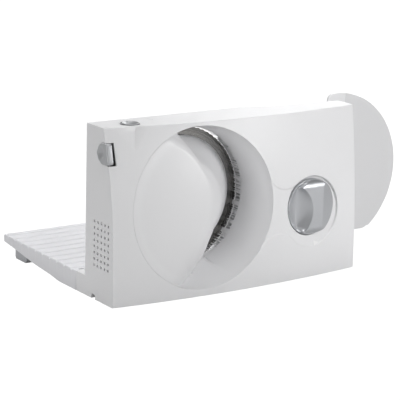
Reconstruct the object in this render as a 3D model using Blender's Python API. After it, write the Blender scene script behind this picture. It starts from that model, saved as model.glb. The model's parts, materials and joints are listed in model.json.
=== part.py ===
"""Folding electric food slicer: upright housing with a round exit bowl, blade,
thickness dial with sliding fence and folding wing, and a folding ribbed table.
Built in millimetres around the housing's middle, then moved so that the
origin is the bottom centre of the bounding box. +Z up, -Y is the slice side,
+Y is the food side."""
import math
import bpy
import bmesh
from mathutils import Vector, Matrix

for ob in list(bpy.data.objects):
    bpy.data.objects.remove(ob, do_unlink=True)

# ---------------------------------------------------------------- dimensions
L = 344.6          # housing length
H = 201.5          # housing height
Z0 = 1.5           # housing underside
WALL = 3.0
GAP = 0.3
COVER_T = 2.6      # front cover thickness
BACK_L = 61.0      # back face, blade side
BACK_R = 44.0      # back face, fence side
STEP_X = 6.0       # where the back steps forward
BLADE_C = (-52.0, 102.5)
BLADE_R = 85.0
BLADE_Y = 58.8     # exit face of the blade
BLADE_T = 1.2
HOLE_R = 88.6      # opening round the blade
BOWL_C = (-54.0, 103.5)
BOWL_R = 93.7
DOME_C = (-53.5, 105.5)
DOME_R = 71.8
FLAT_C, FLAT_R = (-118.6, 113.3), 73.0
DOME_Y = 55.2
LIP_C = (-52.5, 105.5)
LIP_R = 81.3
LIP_Y = 39.5
FLOOR_Z = 29.5
KNOB_C = (97.0, 88.5)
KNOB_R = 34.0
POCKET_C = (99.0, 82.0)
POCKET_R = 42.8
FENCE_Y = 58.2
FENCE_T = 3.2
FENCE_TRAVEL = 13.5
WING_C = (181.0, 109.0)
WING_R = 98.3
WING_SEAM = 195.6
WING_AXIS = (198.6, 65.2)
FENCE_Z0 = 29.5
TABLE_Y0 = 81.8
TABLE_Y1 = 258.0
TABLE_TOP = 24.6
TABLE_RISE = 1.7     # from the hinge to the far edge
TABLE_AXIS = (83.2, 22.4)
BTN_C = (-132.5, 34.5)
BTN_R = 11.2
GEAR_R = 57.6
PINION_R = 8.0
IDLER_C = (-116.7, 115.0)
IDLER_R = 18.0
MOTOR_C = (-140.0, 27.0)
MOTOR_R = 22.0

MM = 0.001
MATS = {}


def lean(x, z):
    t = min(max(z / H, 0.0), 1.0)
    s = x / L + 0.5
    return (26.3 - 10.15 * s) * t ** (3.0 - s)


def front_y(x, z):
    """Outer face of the housing's front: bowed in plan, leaning back."""
    t = min(max(z / H, 0.0), 1.0)
    bow = 11.35 + 4.7 * t
    return lean(x, z) - bow * (1.0 - (2.0 * x / L) ** 2)


# ------------------------------------------------------------------- helpers
def mat(name, rgb, rough=0.5, metal=0.0):
    m = bpy.data.materials.new(name)
    m.use_nodes = True
    b = m.node_tree.nodes["Principled BSDF"]
    b.inputs["Base Color"].default_value = (rgb[0], rgb[1], rgb[2], 1.0)
    b.inputs["Roughness"].default_value = rough
    b.inputs["Metallic"].default_value = metal
    m.diffuse_color = (rgb[0], rgb[1], rgb[2], 1.0)
    return m


WHITE = (0.86, 0.86, 0.87)
LIGHT = (0.72, 0.73, 0.74)
STEEL = (0.55, 0.56, 0.58)
DARK = (0.08, 0.08, 0.09)
BRASS = (0.72, 0.56, 0.25)


def finish(name, bm, rgb, rough=0.5, metal=0.0, smooth=False):
    bmesh.ops.remove_doubles(bm, verts=bm.verts, dist=1e-5)
    bmesh.ops.recalc_face_normals(bm, faces=bm.faces)
    me = bpy.data.meshes.new(name)
    bm.to_mesh(me)
    bm.free()
    for v in me.vertices:
        v.co *= MM
    me.update()
    ob = bpy.data.objects.new(name, me)
    bpy.context.scene.collection.objects.link(ob)
    me.materials.append(mat(name, rgb, rough, metal))
    if smooth:
        for p in me.polygons:
            p.use_smooth = True
        me.set_sharp_from_angle(angle=math.radians(35))
    return ob


def add_box(bm, x0, x1, y0, y1, z0, z1):
    vs = [bm.verts.new((x, y, z)) for x in (x0, x1) for y in (y0, y1) for z in (z0, z1)]
    for f in ((0, 1, 3, 2), (4, 6, 7, 5), (0, 4, 5, 1), (2, 3, 7, 6), (0, 2, 6, 4), (1, 5, 7, 3)):
        bm.faces.new([vs[i] for i in f])


def place(u, v, w, axis):
    """u, v across the axis, w along it."""
    if axis == "Y":
        return (u, w, v)
    if axis == "X":
        return (w, u, v)
    return (u, v, w)


def add_prism(bm, pts, w0, w1, axis="Y"):
    a = [bm.verts.new(place(p[0], p[1], w0, axis)) for p in pts]
    b = [bm.verts.new(place(p[0], p[1], w1, axis)) for p in pts]
    n = len(pts)
    bm.faces.new(a)
    bm.faces.new(list(reversed(b)))
    for i in range(n):
        j = (i + 1) % n
        bm.faces.new((a[i], b[i], b[j], a[j]))


def circle(c, r, n, a0=0.0):
    return [(c[0] + r * math.cos(a0 + 2 * math.pi * i / n),
             c[1] + r * math.sin(a0 + 2 * math.pi * i / n)) for i in range(n)]


def add_cyl(bm, c, r, w0, w1, axis="Y", n=32):
    add_prism(bm, circle(c, r, n, math.pi / n), w0, w1, axis)


def add_lathe(bm, c, prof, axis="Y", n=32):
    """prof: closed loop of (radius, along); radius 0 points close the axis."""
    rings = []
    for r, w in prof:
        if r < 1e-6:
            rings.append([bm.verts.new(place(c[0], c[1], w, axis))])
        else:
            rings.append([bm.verts.new(place(p[0], p[1], w, axis))
                          for p in circle(c, r, n, math.pi / n)])
    m = len(rings)
    for k in range(m):
        a, b = rings[k], rings[(k + 1) % m]
        if len(a) == 1 and len(b) == 1:
            continue
        for i in range(n):
            j = (i + 1) % n
            if len(a) == 1:
                bm.faces.new((a[0], b[i], b[j]))
            elif len(b) == 1:
                bm.faces.new((a[i], b[0], a[j]))
            else:
                bm.faces.new((a[i], b[i], b[j], a[j]))


def tool(make):
    bm = bmesh.new()
    make(bm)
    bmesh.ops.recalc_face_normals(bm, faces=bm.faces)
    me = bpy.data.meshes.new("tool")
    bm.to_mesh(me)
    bm.free()
    for v in me.vertices:
        v.co *= MM
    ob = bpy.data.objects.new("tool", me)
    bpy.context.scene.collection.objects.link(ob)
    return ob


def boolean(ob, make, op="DIFFERENCE"):
    """Apply one exact boolean and drop the cutter."""
    t = tool(make)
    md = ob.modifiers.new("b", "BOOLEAN")
    md.operation = op
    md.solver = "EXACT"
    md.object = t
    bpy.context.view_layer.update()
    dg = bpy.context.evaluated_depsgraph_get()
    me = bpy.data.meshes.new_from_object(ob.evaluated_get(dg))
    ob.modifiers.remove(md)
    old = ob.data
    mats = [m for m in old.materials]
    ob.data = me
    me.materials.clear()
    me.materials.append(mats[0])
    bpy.data.objects.remove(t, do_unlink=True)
    bpy.data.meshes.remove(old)
    bm = bmesh.new()
    bm.from_mesh(me)
    bmesh.ops.remove_doubles(bm, verts=bm.verts, dist=2e-6)
    bmesh.ops.dissolve_degenerate(bm, edges=bm.edges, dist=1e-6)
    bm.to_mesh(me)
    bm.free()
    for p in me.polygons:
        p.material_index = 0
    return ob


def grid_solid(bm, xs, zs, f0, f1):
    """Closed slab between two height fields y = f0(x, z) and y = f1(x, z)."""
    a = [[bm.verts.new((x, f0(x, z), z)) for z in zs] for x in xs]
    b = [[bm.verts.new((x, f1(x, z), z)) for z in zs] for x in xs]
    nx, nz = len(xs), len(zs)
    for i in range(nx - 1):
        for j in range(nz - 1):
            bm.faces.new((a[i][j], a[i + 1][j], a[i + 1][j + 1], a[i][j + 1]))
            bm.faces.new((b[i][j], b[i][j + 1], b[i + 1][j + 1], b[i + 1][j]))
    for i in range(nx - 1):
        bm.faces.new((a[i][0], b[i][0], b[i + 1][0], a[i + 1][0]))
        bm.faces.new((a[i][-1], a[i + 1][-1], b[i + 1][-1], b[i][-1]))
    for j in range(nz - 1):
        bm.faces.new((a[0][j], a[0][j + 1], b[0][j + 1], b[0][j]))
        bm.faces.new((a[-1][j], b[-1][j], b[-1][j + 1], a[-1][j + 1]))


def lin(a, b, n):
    return [a + (b - a) * i / n for i in range(n + 1)]


def smooth01(v):
    v = min(max(v, 0.0), 1.0)
    return v * v * (3 - 2 * v)


XS = lin(-L / 2, L / 2, 22)
ZS = lin(Z0, H, 12)
SCREWS = [(-160.0, 192.0, BACK_L), (-163.0, 28.0, BACK_L), (160.0, 187.0, BACK_R), (160.0, 34.0, BACK_R)]

# --------------------------------------------------------------- front cover
bm = bmesh.new()


def cover_back(x, z):
    d = math.hypot(x - POCKET_C[0], z - POCKET_C[1])
    return front_y(x, z) + COVER_T + (8.0 if d < POCKET_R + 14 else 0.0)


grid_solid(bm, XS, ZS, front_y, cover_back)
front = finish("front_cover", bm, WHITE, 0.35)
for sx, sz, sy in SCREWS:
    boolean(front, lambda b: add_cyl(b, (sx, sz), 4.2, front_y(sx, sz) + 1.4, sy - WALL - GAP, n=14), "UNION")
    boolean(front, lambda b: add_cyl(b, (sx, sz), 1.9, sy - 22.0, sy + 5, n=10))
boolean(front, lambda b: add_cyl(b, BOWL_C, BOWL_R, -60, 30, n=72))
boolean(front, lambda b: add_lathe(b, POCKET_C, [(0, -40), (POCKET_R, -40), (POCKET_R, -3.0), (POCKET_R - 3.5, 0.2), (0, 0.2)], n=48))
boolean(front, lambda b: add_cyl(b, KNOB_C, 6.4, -40, 30, n=20))
# thumb groove under the switch button
boolean(front, lambda b: add_lathe(b, (-139.4, 12.0), [(0, 175.0), (17.5, 202.0), (17.5, 210.0), (0, 210.0)], "Z", n=28))
# slot for the side catch
boolean(front, lambda b: add_box(b, -180, -162.6, -10, 30, 160.6, 185.6))

# -------------------------------------------------------------- rear housing
bm = bmesh.new()
grid_solid(bm, XS, ZS, lambda x, z: front_y(x, z) + COVER_T + GAP, lambda x, z: BACK_L)
rear = finish("rear_housing", bm, WHITE, 0.35)


def rear_pockets(b):
    # inner space, blade side and fence side
    add_prism(b, [(-L / 2 + WALL, -60), (L / 2 - WALL, -60), (L / 2 - WALL, BACK_R - WALL),
                  (STEP_X - WALL, BACK_R - WALL), (STEP_X - WALL, BACK_L - WALL),
                  (-L / 2 + WALL, BACK_L - WALL)], Z0 + WALL, H - WALL, "Z")


boolean(rear, rear_pockets)
# the back steps forward behind the fence, under an overhanging top edge
boolean(rear, lambda b: add_box(b, STEP_X, L / 2 + 5, BACK_R, BACK_L + 5, TABLE_TOP, 195.0))
boolean(rear, lambda b: add_prism(b, [(50, BACK_L + 5), (38, BACK_L), (88, BACK_R + 3.5), (L / 2 + 5, BACK_R), (L / 2 + 5, BACK_L + 5)],
                                  180.0, H + 5, "Z"))
# plinth that carries the table
boolean(rear, lambda b: add_box(b, -L / 2, L / 2, BACK_L - 2.0, 80.7, Z0, TABLE_TOP), "UNION")
boolean(rear, lambda b: add_box(b, -L / 2 + WALL, L / 2 - WALL, BACK_L + 3.0, 77.7, -5, TABLE_TOP - WALL))
# opening round the blade, open to the fence
boolean(rear, lambda b: add_cyl(b, BLADE_C, HOLE_R, 40.6, BACK_L + 0.4, n=72))
# vents, cord notch, catch slot, button hole, inlay seat


def rear_small(b):
    for i in range(5):
        for j in range(8):
            add_cyl(b, (41.3 - 7.5 * i, 92.8 - 7.25 * j), 1.6, -L / 2 - 5, -L / 2 + WALL + 3, "X", n=8)
    add_box(b, -L / 2 - 5, -L / 2 + 14, 38.0, 46.4, -5, 7.2)
    add_cyl(b, BTN_C, BTN_R + 0.35, H - 8, H + 5, "Z", n=32)
    add_prism(b, [(-117.4, 40.0), (-101.0, 38.0), (-97.6, 41.0), (-97.0, 46.0), (-99.5, 52.0), (-105.0, 56.4), (-117.4, 56.4)],
              H - 8, H + 5, "Z")
    for fx, fy in ((-150, 14), (150, 14), (-150, 70), (150, 70)):
        add_cyl(b, (fx, fy), 2.3, -5, Z0 + 6 if fy < 50 else 10, "Z", n=10)


boolean(rear, rear_small)
boolean(rear, lambda b: add_prism(b, [(5.0, 160.6), (27.0, 160.6), (34.0, 164.2), (38.3, 172.8), (34.0, 181.6), (27.0, 185.6), (5.0, 185.6)],
                                  -L / 2 - 5, -L / 2 + WALL + 4, "X"))
boolean(rear, lambda b: [add_cyl(b, (sx, sz), 2.0, sy - 8, sy + 3, n=10) for sx, sz, sy in SCREWS])
boolean(rear, lambda b: [add_cyl(b, (sx, sz), 3.9, sy - 1.6, sy + 3, n=16) for sx, sz, sy in SCREWS])
# guide holes for the fence arms
boolean(rear, lambda b: [add_box(b, 99, 127, BACK_R - 9, BACK_R + 9, z - 7.4, z + 7.4) for z in (50.0, 127.0)])
# lugs that carry the table's hinge pins
for sgn in (-1, 1):
    cx = sgn * (L / 2 - 9.0)
    boolean(rear, lambda b: add_box(b, cx - 2.8, cx + 2.8, 79.0, TABLE_AXIS[0], TABLE_AXIS[1] - 1.8, TABLE_AXIS[1] + 1.8), "UNION")
    boolean(rear, lambda b: add_cyl(b, TABLE_AXIS, 2.0, cx - 2.8, cx + 2.8, "X", n=16), "UNION")
    boolean(rear, lambda b: add_cyl(b, TABLE_AXIS, 1.05, cx - 5, cx + 5, "X", n=12))

# ----------------------------------------------------------------- exit bowl


def lip_radius(ph):
    """Inner radius of the scoop measured from the bowl centre."""
    dx, dz = math.cos(ph), math.sin(ph)
    ox, oz = BOWL_C[0] - LIP_C[0], BOWL_C[1] - LIP_C[1]
    bq = ox * dx + oz * dz
    cq = ox * ox + oz * oz - LIP_R ** 2
    r = -bq + math.sqrt(bq * bq - cq)
    if dz < -0.2:
        r = min(r, (BOWL_C[1] - FLOOR_Z) / -dz)
    return r


def dome_edge(a):
    """Radius of the dome's edge at angle a in degrees: round over the blade,
    then running out straight to the floor at the bottom and away at the top."""
    if a > 95:
        return DOME_R + 3.0 * (a - 95)
    u = max(-57.0 - a, 0.0)
    return DOME_R + 0.77 * min(u, 20.3) + 2.2 * max(0.0, u - 20.3)


def dome_y(x, z):
    """Flat on the left, then a flank that falls to the edge over the blade."""
    dx, dz = x - DOME_C[0], z - DOME_C[1]
    d = dome_edge(math.degrees(math.atan2(dz, dx))) - math.hypot(dx, dz)
    sx, sz = x - FLAT_C[0], z - FLAT_C[1]
    s = math.hypot(sx, sz) - FLAT_R - 1.2 * max(0.0, -62.0 - math.degrees(math.atan2(sz, sx)))
    flush = front_y(x, z) + 0.9
    if s <= 0:
        return flush
    if d <= 0:
        return DOME_Y
    return flush + (DOME_Y - flush) * (s / (s + d)) ** 1.2


def scoop_y(x, z, shift=0.0):
    dx, dz = x - BOWL_C[0], z - BOWL_C[1]
    r = math.hypot(dx, dz)
    rl = lip_radius(math.atan2(dz, dx))
    fr = front_y(x, z)
    q = (BOWL_R - (r - shift)) / (BOWL_R - rl)
    if q <= 0:
        return fr
    if q >= 1:
        return LIP_Y
    return fr + (LIP_Y - fr) * (q ** 0.8)


def bowl_front(x, z):
    if scoop_y(x, z) >= LIP_Y:
        return dome_y(x, z)
    return min(dome_y(x, z), scoop_y(x, z))


def bowl_back(x, z):
    if scoop_y(x, z) >= LIP_Y:
        return dome_y(x, z) + 2.2
    return min(dome_y(x, z) + 2.2, scoop_y(x, z, 2.4) + 2.2)


bm = bmesh.new()
NA, RB = 64, [93.4, 92.2, 90.4, 88.2, 85.8, 83.4, 81.2, 78.6, 75, 72.6, 69, 63, 55, 45, 32, 16]
fr, bk = [], []
for r in RB:
    fr.append([])
    bk.append([])
    for k in range(NA):
        a = 2 * math.pi * k / NA
        x, z = BOWL_C[0] + r * math.cos(a), BOWL_C[1] + r * math.sin(a)
        yf = bowl_front(x, z)
        yb = max(bowl_back(x, z), yf + 1.2)
        if r > 93:
            yf, yb = front_y(x, z) + 0.1, front_y(x, z) + 2.4
        fr[-1].append(bm.verts.new((x, yf, z)))
        bk[-1].append(bm.verts.new((x, yb, z)))
cf = bm.verts.new((BOWL_C[0], bowl_front(*BOWL_C), BOWL_C[1]))
cb = bm.verts.new((BOWL_C[0], bowl_back(*BOWL_C), BOWL_C[1]))
for k in range(NA):
    j = (k + 1) % NA
    for i in range(len(RB) - 1):
        bm.faces.new((fr[i][k], fr[i][j], fr[i + 1][j], fr[i + 1][k]))
        bm.faces.new((bk[i][k], bk[i + 1][k], bk[i + 1][j], bk[i][j]))
    bm.faces.new((fr[-1][k], fr[-1][j], cf))
    bm.faces.new((bk[-1][j], bk[-1][k], cb))
    bm.faces.new((fr[0][k], bk[0][k], bk[0][j], fr[0][j]))
bowl = finish("exit_bowl", bm, WHITE, 0.3)


def crescent(b):
    """Prism between the dome's edge and the scoop's lip, above the floor."""
    dome = [(DOME_C[0] + dome_edge(a) * math.cos(math.radians(a)), DOME_C[1] + dome_edge(a) * math.sin(math.radians(a)))
            for a in [97 - 3.0 * i for i in range(58)]]
    dome = [p for p in dome if p[1] > FLOOR_Z + 0.3]
    lip = [(LIP_C[0] + LIP_R * math.cos(math.radians(a)), LIP_C[1] + LIP_R * math.sin(math.radians(a)))
           for a in [-68 + 3.0 * i for i in range(56)]]
    lip = [p for p in lip if p[1] > FLOOR_Z + 0.3]
    add_prism(b, dome + lip, -40, 90)


boolean(bowl, crescent)

# ------------------------------------------------------------- blade and hub
bm = bmesh.new()
pts = []
NT = 96
for k in range(NT):
    a = 2 * math.pi * k / NT
    r = BLADE_R - (0.0 if k % 2 else 1.1)
    pts.append((BLADE_C[0] + r * math.cos(a), BLADE_C[1] + r * math.sin(a)))
inner = circle(BLADE_C, BLADE_R - 9.0, NT)
hub = circle(BLADE_C, 9.0, NT)
rows = [(pts, BLADE_Y + 0.9), (inner, BLADE_Y), (hub, BLADE_Y), (hub, BLADE_Y + BLADE_T), (pts, BLADE_Y + BLADE_T)]
rings = [[bm.verts.new((p[0], y, p[1])) for p in ring] for ring, y in rows]
for k in range(NT):
    j = (k + 1) % NT
    for i in range(5):
        a, b = rings[i], rings[(i + 1) % 5]
        bm.faces.new((a[k], b[k], b[j], a[j]))
finish("blade", bm, STEEL, 0.25, 1.0)

bm = bmesh.new()
add_lathe(bm, BLADE_C, [(0, 30), (4, 30), (4, 46.2), (8.6, 46.2), (8.6, BLADE_Y + BLADE_T - 0.2), (0, BLADE_Y + BLADE_T - 0.2)], n=24)
finish("blade_spindle", bm, STEEL, 0.3, 1.0, True)

bm = bmesh.new()
add_lathe(bm, BLADE_C, [(8.9, 47), (GEAR_R, 47), (GEAR_R, 55.6), (GEAR_R - 6, 55.6), (GEAR_R - 6, 51), (20, 51), (20, BLADE_Y - GAP), (8.9, BLADE_Y - GAP)], n=56)
finish("blade_gear", bm, (0.82, 0.80, 0.72), 0.5)

bm = bmesh.new()
add_lathe(bm, BLADE_C, [(0, BLADE_Y + BLADE_T + GAP), (14, BLADE_Y + BLADE_T + GAP), (14, BLADE_Y + 3.4), (11, BLADE_Y + 5.4), (0, BLADE_Y + 5.4)], n=32)
cap = finish("blade_screw", bm, LIGHT, 0.35, 0.0, False)
boolean(cap, lambda b: add_box(b, BLADE_C[0] - 9, BLADE_C[0] + 9, BLADE_Y + 3.9, BLADE_Y + 8, BLADE_C[1] - 1.2, BLADE_C[1] + 1.2))

bm = bmesh.new()
add_lathe(bm, BLADE_C, [(4.1, 28), (8.0, 28), (8.0, 38.6), (12.0, 38.6), (12.0, 40.2), (8.0, 40.2), (8.0, 45.6), (4.1, 45.6)], n=24)
finish("spindle_bush", bm, BRASS, 0.3, 1.0, True)

# ------------------------------------------------------- drive frame and gear
bm = bmesh.new()
add_prism(bm, [(-169.0, 108), (-128, 134), (-60, 150), (-20, 132), (-20, 74), (-60, 56), (-112, 60), (-112, 100)], 40.5, 43.4)
frame_plate = finish("drive_frame", bm, LIGHT, 0.6)
boolean(frame_plate, lambda b: add_cyl(b, BLADE_C, 8.3, 30, 50, n=24))
boolean(frame_plate, lambda b: add_cyl(b, IDLER_C, 3.4, 30, 50, n=16))

bm = bmesh.new()
add_lathe(bm, IDLER_C, [(0, 16), (3, 16), (3, 21.5), (IDLER_R, 21.5), (IDLER_R, 32.5), (3, 32.5), (3, 46), (PINION_R, 46), (PINION_R, 56.4), (0, 56.4)], n=28)
finish("idler_gear", bm, (0.82, 0.80, 0.72), 0.5)

# ------------------------------------------------------------------- motor
bm = bmesh.new()
add_lathe(bm, MOTOR_C, [(4.0, 40), (MOTOR_R - 2, 40), (MOTOR_R, 42), (MOTOR_R, 94), (MOTOR_R - 2, 96), (4.0, 96)], "Z", n=32)
finish("motor_can", bm, STEEL, 0.35, 1.0, True)
bm = bmesh.new()
add_lathe(bm, MOTOR_C, [(4.0, 96.3), (16, 96.3), (16, 98.5), (9, 99.5), (4.0, 99.5)], "Z", n=28)
finish("motor_bearing_cap", bm, LIGHT, 0.5)
bm = bmesh.new()
add_lathe(bm, MOTOR_C, [(0, 26), (2.4, 26), (2.4, 102), (5.0, 102.4), (5.0, 128), (3.0, 129), (0, 129)], "Z", n=20)
finish("motor_shaft", bm, STEEL, 0.25, 1.0, True)
bm = bmesh.new()
add_lathe(bm, MOTOR_C, [(2.7, 28), (7.0, 28), (7.0, 34.5), (19.0, 34.5), (19.0, 36.5), (2.7, 36.5)], "Z", n=28)
fan = finish("cooling_fan", bm, DARK, 0.5)


def fan_blades(b):
    for k in range(8):
        a = 2 * math.pi * k / 8
        c, s = math.cos(a), math.sin(a)
        p = [(MOTOR_C[0] + c * u - s * v, MOTOR_C[1] + s * u + c * v) for u, v in ((6.4, -0.8), (18.4, -0.8), (18.4, 0.8), (6.4, 0.8))]
        add_prism(b, p, 29.0, 35.0, "Z")


boolean(fan, fan_blades, "UNION")
bm = bmesh.new()
add_box(bm, -169.0, -114.5, 5.0, 57.7, 60.0, 66.0)
cradle = finish("motor_cradle", bm, LIGHT, 0.6)
boolean(cradle, lambda b: add_cyl(b, MOTOR_C, MOTOR_R + GAP, 50, 80, "Z", n=32))

# --------------------------------------------------------- switch and catch
bm = bmesh.new()
add_lathe(bm, BTN_C, [(0, 191.5), (4.5, 191.5), (4.5, H - 7.6), (BTN_R, H - 7.6), (BTN_R, H + 0.6), (BTN_R - 1.2, H + 1.5),
                      (BTN_R - 3.2, H + 1.3), (5.0, H + 0.2), (0, H - 0.1)], "Z", n=36)
finish("on_button", bm, (0.62, 0.63, 0.65), 0.3, 0.0, True)
bm = bmesh.new()
add_box(bm, BTN_C[0] - 10, BTN_C[0] + 10, BTN_C[1] - 4.5, BTN_C[1] + 4.5, 172, 187)
switch = finish("switch_block", bm, DARK, 0.6)
boolean(switch, lambda b: add_box(b, BTN_C[0] - 2.2, BTN_C[0] + 2.2, BTN_C[1] - 2.2, BTN_C[1] + 2.2, 186, 188.6), "UNION")
bm = bmesh.new()
add_prism(bm, [(-117.0, 40.4), (-101.2, 38.4), (-98.0, 41.2), (-97.4, 46.0), (-99.8, 51.7), (-105.2, 56.0), (-117.0, 56.0)], H - 2.8, H - 0.05, "Z")
inl = finish("top_inlay", bm, WHITE, 0.35)

bm = bmesh.new()
add_prism(bm, [(12.4, 161.1), (26.8, 161.1), (33.4, 164.6), (37.7, 172.8), (33.4, 181.2), (26.8, 185.1), (17.4, 185.1)], -L / 2 - 1.2, -L / 2 + 6.0, "X")
catch = finish("side_catch", bm, (0.62, 0.63, 0.65), 0.3)
boolean(catch, lambda b: add_lathe(b, (27.0, 173.0), [(0, -L / 2 - 4), (8.5, -L / 2 - 4), (7.5, -L / 2 - 0.6), (4.0, -L / 2 + 0.6), (0, -L / 2 + 0.9)], "X", n=20))

# ---------------------------------------------------------- thickness dial
bm = bmesh.new()
add_lathe(bm, KNOB_C, [(0, -14.0), (KNOB_R - 4, -13.0), (KNOB_R - 0.8, -10.4), (KNOB_R, -8.0), (KNOB_R, -3.4), (0, -3.4)], n=48)
knob = finish("thickness_knob", bm, (0.74, 0.75, 0.77), 0.3)


def knob_scoops(b):
    # a round scoop on the left and a flat slope on the right leave the grip bar
    add_prism(b, circle((KNOB_C[0] - 35.3, KNOB_C[1] - 3.9), 34.0, 48), -30, -6.9)
    add_prism(b, [(KNOB_C[0] + 14.5, -30), (KNOB_C[0] + 14.5, -13.9), (KNOB_C[0] + 34.5, -7.4), (KNOB_C[0] + 45, -7.4), (KNOB_C[0] + 45, -30)],
              KNOB_C[1] - 40, KNOB_C[1] + 40, "Z")


boolean(knob, knob_scoops)
bm = bmesh.new()
add_lathe(bm, KNOB_C, [(0, -3.1), (5.6, -3.1), (5.6, 36), (0, 36)], n=24)
finish("dial_spindle", bm, (0.80, 0.80, 0.78), 0.4, 0.0, True)

# --------------------------------------------------------------- fence group
bm = bmesh.new()
add_box(bm, 82, 113, 22.0, 31.0, 70, 107)
carrier = finish("fence_carrier", bm, LIGHT, 0.6)
boolean(carrier, lambda b: add_box(b, 100.5, 126, 23.5, 30.5, 44.5, 132.5), "UNION")
boolean(carrier, lambda b: [add_box(b, 101.5, 124.5, 29.0, FENCE_Y - GAP, z - 5, z + 5) for z in (50.0, 127.0)], "UNION")
boolean(carrier, lambda b: add_cyl(b, KNOB_C, 6.0, 10, 40, n=24))

bm = bmesh.new()


def arc_pts(c, r, a0, a1, n):
    return [(c[0] + r * math.cos(math.radians(a0 + (a1 - a0) * i / n)),
             c[1] + r * math.sin(math.radians(a0 + (a1 - a0) * i / n))) for i in range(n + 1)]


zt = WING_C[1] + math.sqrt(WING_R ** 2 - (WING_SEAM - GAP - WING_C[0]) ** 2)
edge_r = HOLE_R + 0.2
a_hi = math.degrees(math.acos((STEP_X + 0.4 - BLADE_C[0]) / edge_r))
pts = [(WING_SEAM - GAP, FENCE_Z0), (WING_SEAM - GAP, zt)]
pts += [(x, WING_C[1] + math.sqrt(WING_R ** 2 - (x - WING_C[0]) ** 2)) for x in (188.0, 181.0, 176.0)]
pts += [(172.0, 205.2), (169.6, 202.2), (168.6, 198.5), (168.4, 192.0), (STEP_X + 0.4, 192.0)]
pts += arc_pts(BLADE_C, edge_r, a_hi, -a_hi, 24) + [(STEP_X + 0.4, FENCE_Z0)]
add_prism(bm, pts, FENCE_Y, FENCE_Y + FENCE_T)
finish("fence_plate", bm, WHITE, 0.4)
# raised ribs on the food face of the fence keep the food from sticking


def knuckle(b, z0, z1, first):
    add_cyl(b, WING_AXIS, 3.2, z0, z1, "Z", n=20)


fence = bpy.data.objects["fence_plate"]
for z0, z1 in ((60.0, 80.0), (160.0, 180.0)):
    boolean(fence, lambda b: (add_cyl(b, WING_AXIS, 3.4, z0, z1, "Z", n=20),), "UNION")
    boolean(fence, lambda b: add_box(b, WING_SEAM - 9, WING_AXIS[0], FENCE_Y + 1.0, WING_AXIS[1] - 0.6, z0, z1), "UNION")
boolean(fence, lambda b: add_cyl(b, WING_AXIS, 1.35, 20, 230, "Z", n=14))

bm = bmesh.new()
pts = [(WING_SEAM, FENCE_Z0)]
a0 = math.degrees(math.asin((FENCE_Z0 - WING_C[1]) / WING_R))
a1 = math.degrees(math.acos((WING_SEAM - WING_C[0]) / WING_R))
pts += [(WING_C[0] + 50, FENCE_Z0)] + arc_pts(WING_C, WING_R, a0 + 2.5, a1, 34)
add_prism(bm, pts, FENCE_Y, FENCE_Y + FENCE_T)
wing = finish("fence_wing", bm, WHITE, 0.4)
for z0, z1 in ((60.0, 80.0), (160.0, 180.0)):
    boolean(wing, lambda b: add_cyl(b, WING_AXIS, 3.9, z0 - GAP, z1 + GAP, "Z", n=20))
    boolean(wing, lambda b: add_box(b, WING_SEAM - 3, WING_AXIS[0] + GAP, FENCE_Y + 0.7, WING_AXIS[1] + 3, z0 - GAP, z1 + GAP))
for z0, z1 in ((40.0, 60.0 - GAP), (80.0 + GAP, 160.0 - GAP), (180.0 + GAP, 200.0)):
    boolean(wing, lambda b: add_cyl(b, WING_AXIS, 3.4, z0, z1, "Z", n=20), "UNION")
    boolean(wing, lambda b: add_box(b, WING_AXIS[0] - 0.4, WING_AXIS[0] + 9, FENCE_Y + 1.0, WING_AXIS[1] - 0.6, z0, z1), "UNION")
boolean(wing, lambda b: add_cyl(b, WING_AXIS, 1.5, 20, 230, "Z", n=14))
bm = bmesh.new()
add_cyl(bm, WING_AXIS, 1.3, 38, 203, "Z", n=14)
finish("wing_pin", bm, STEEL, 0.3, 1.0, True)

# --------------------------------------------------------------------- table
def table_z(y):
    """Height of the table's top, which climbs a little towards its far edge."""
    return TABLE_TOP + TABLE_RISE * (y - TABLE_Y0) / (TABLE_Y1 - TABLE_Y0)


bm = bmesh.new()
x0, x1 = -L / 2, L / 2
side = [(TABLE_Y0, 1.2), (121.0, 1.2), (143.5, 4.2), (181.0, 7.2), (214.0, 11.6), (TABLE_Y1, 17.0), (TABLE_Y1, table_z(TABLE_Y1)),
        (TABLE_Y0 + 1.0, table_z(TABLE_Y0)), (TABLE_Y0, TABLE_TOP - 1.0)]
add_prism(bm, side, x0, x1, "X")
table = finish("table", bm, WHITE, 0.4)
boolean(table, lambda b: add_prism(b, [(TABLE_Y0 + 3, -10), (TABLE_Y1 - 3, -10), (TABLE_Y1 - 3, table_z(TABLE_Y1 - 3) - 4.4), (TABLE_Y0 + 3, TABLE_TOP - 4.4)],
                                   x0 + 3, x1 - 3, "X"))
boolean(table, lambda b: add_box(b, x0 + 3, x1 - 3, TABLE_Y0 - 3, TABLE_Y0 + 5, -10, TABLE_TOP - 9))


def grooves(b):
    for k in range(9):
        y = TABLE_Y0 + 15 + 17.4 * k
        add_box(b, x0 + 8, x1 - 8, y, y + 4.0, table_z(y) - 1.4, TABLE_TOP + 5)


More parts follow.
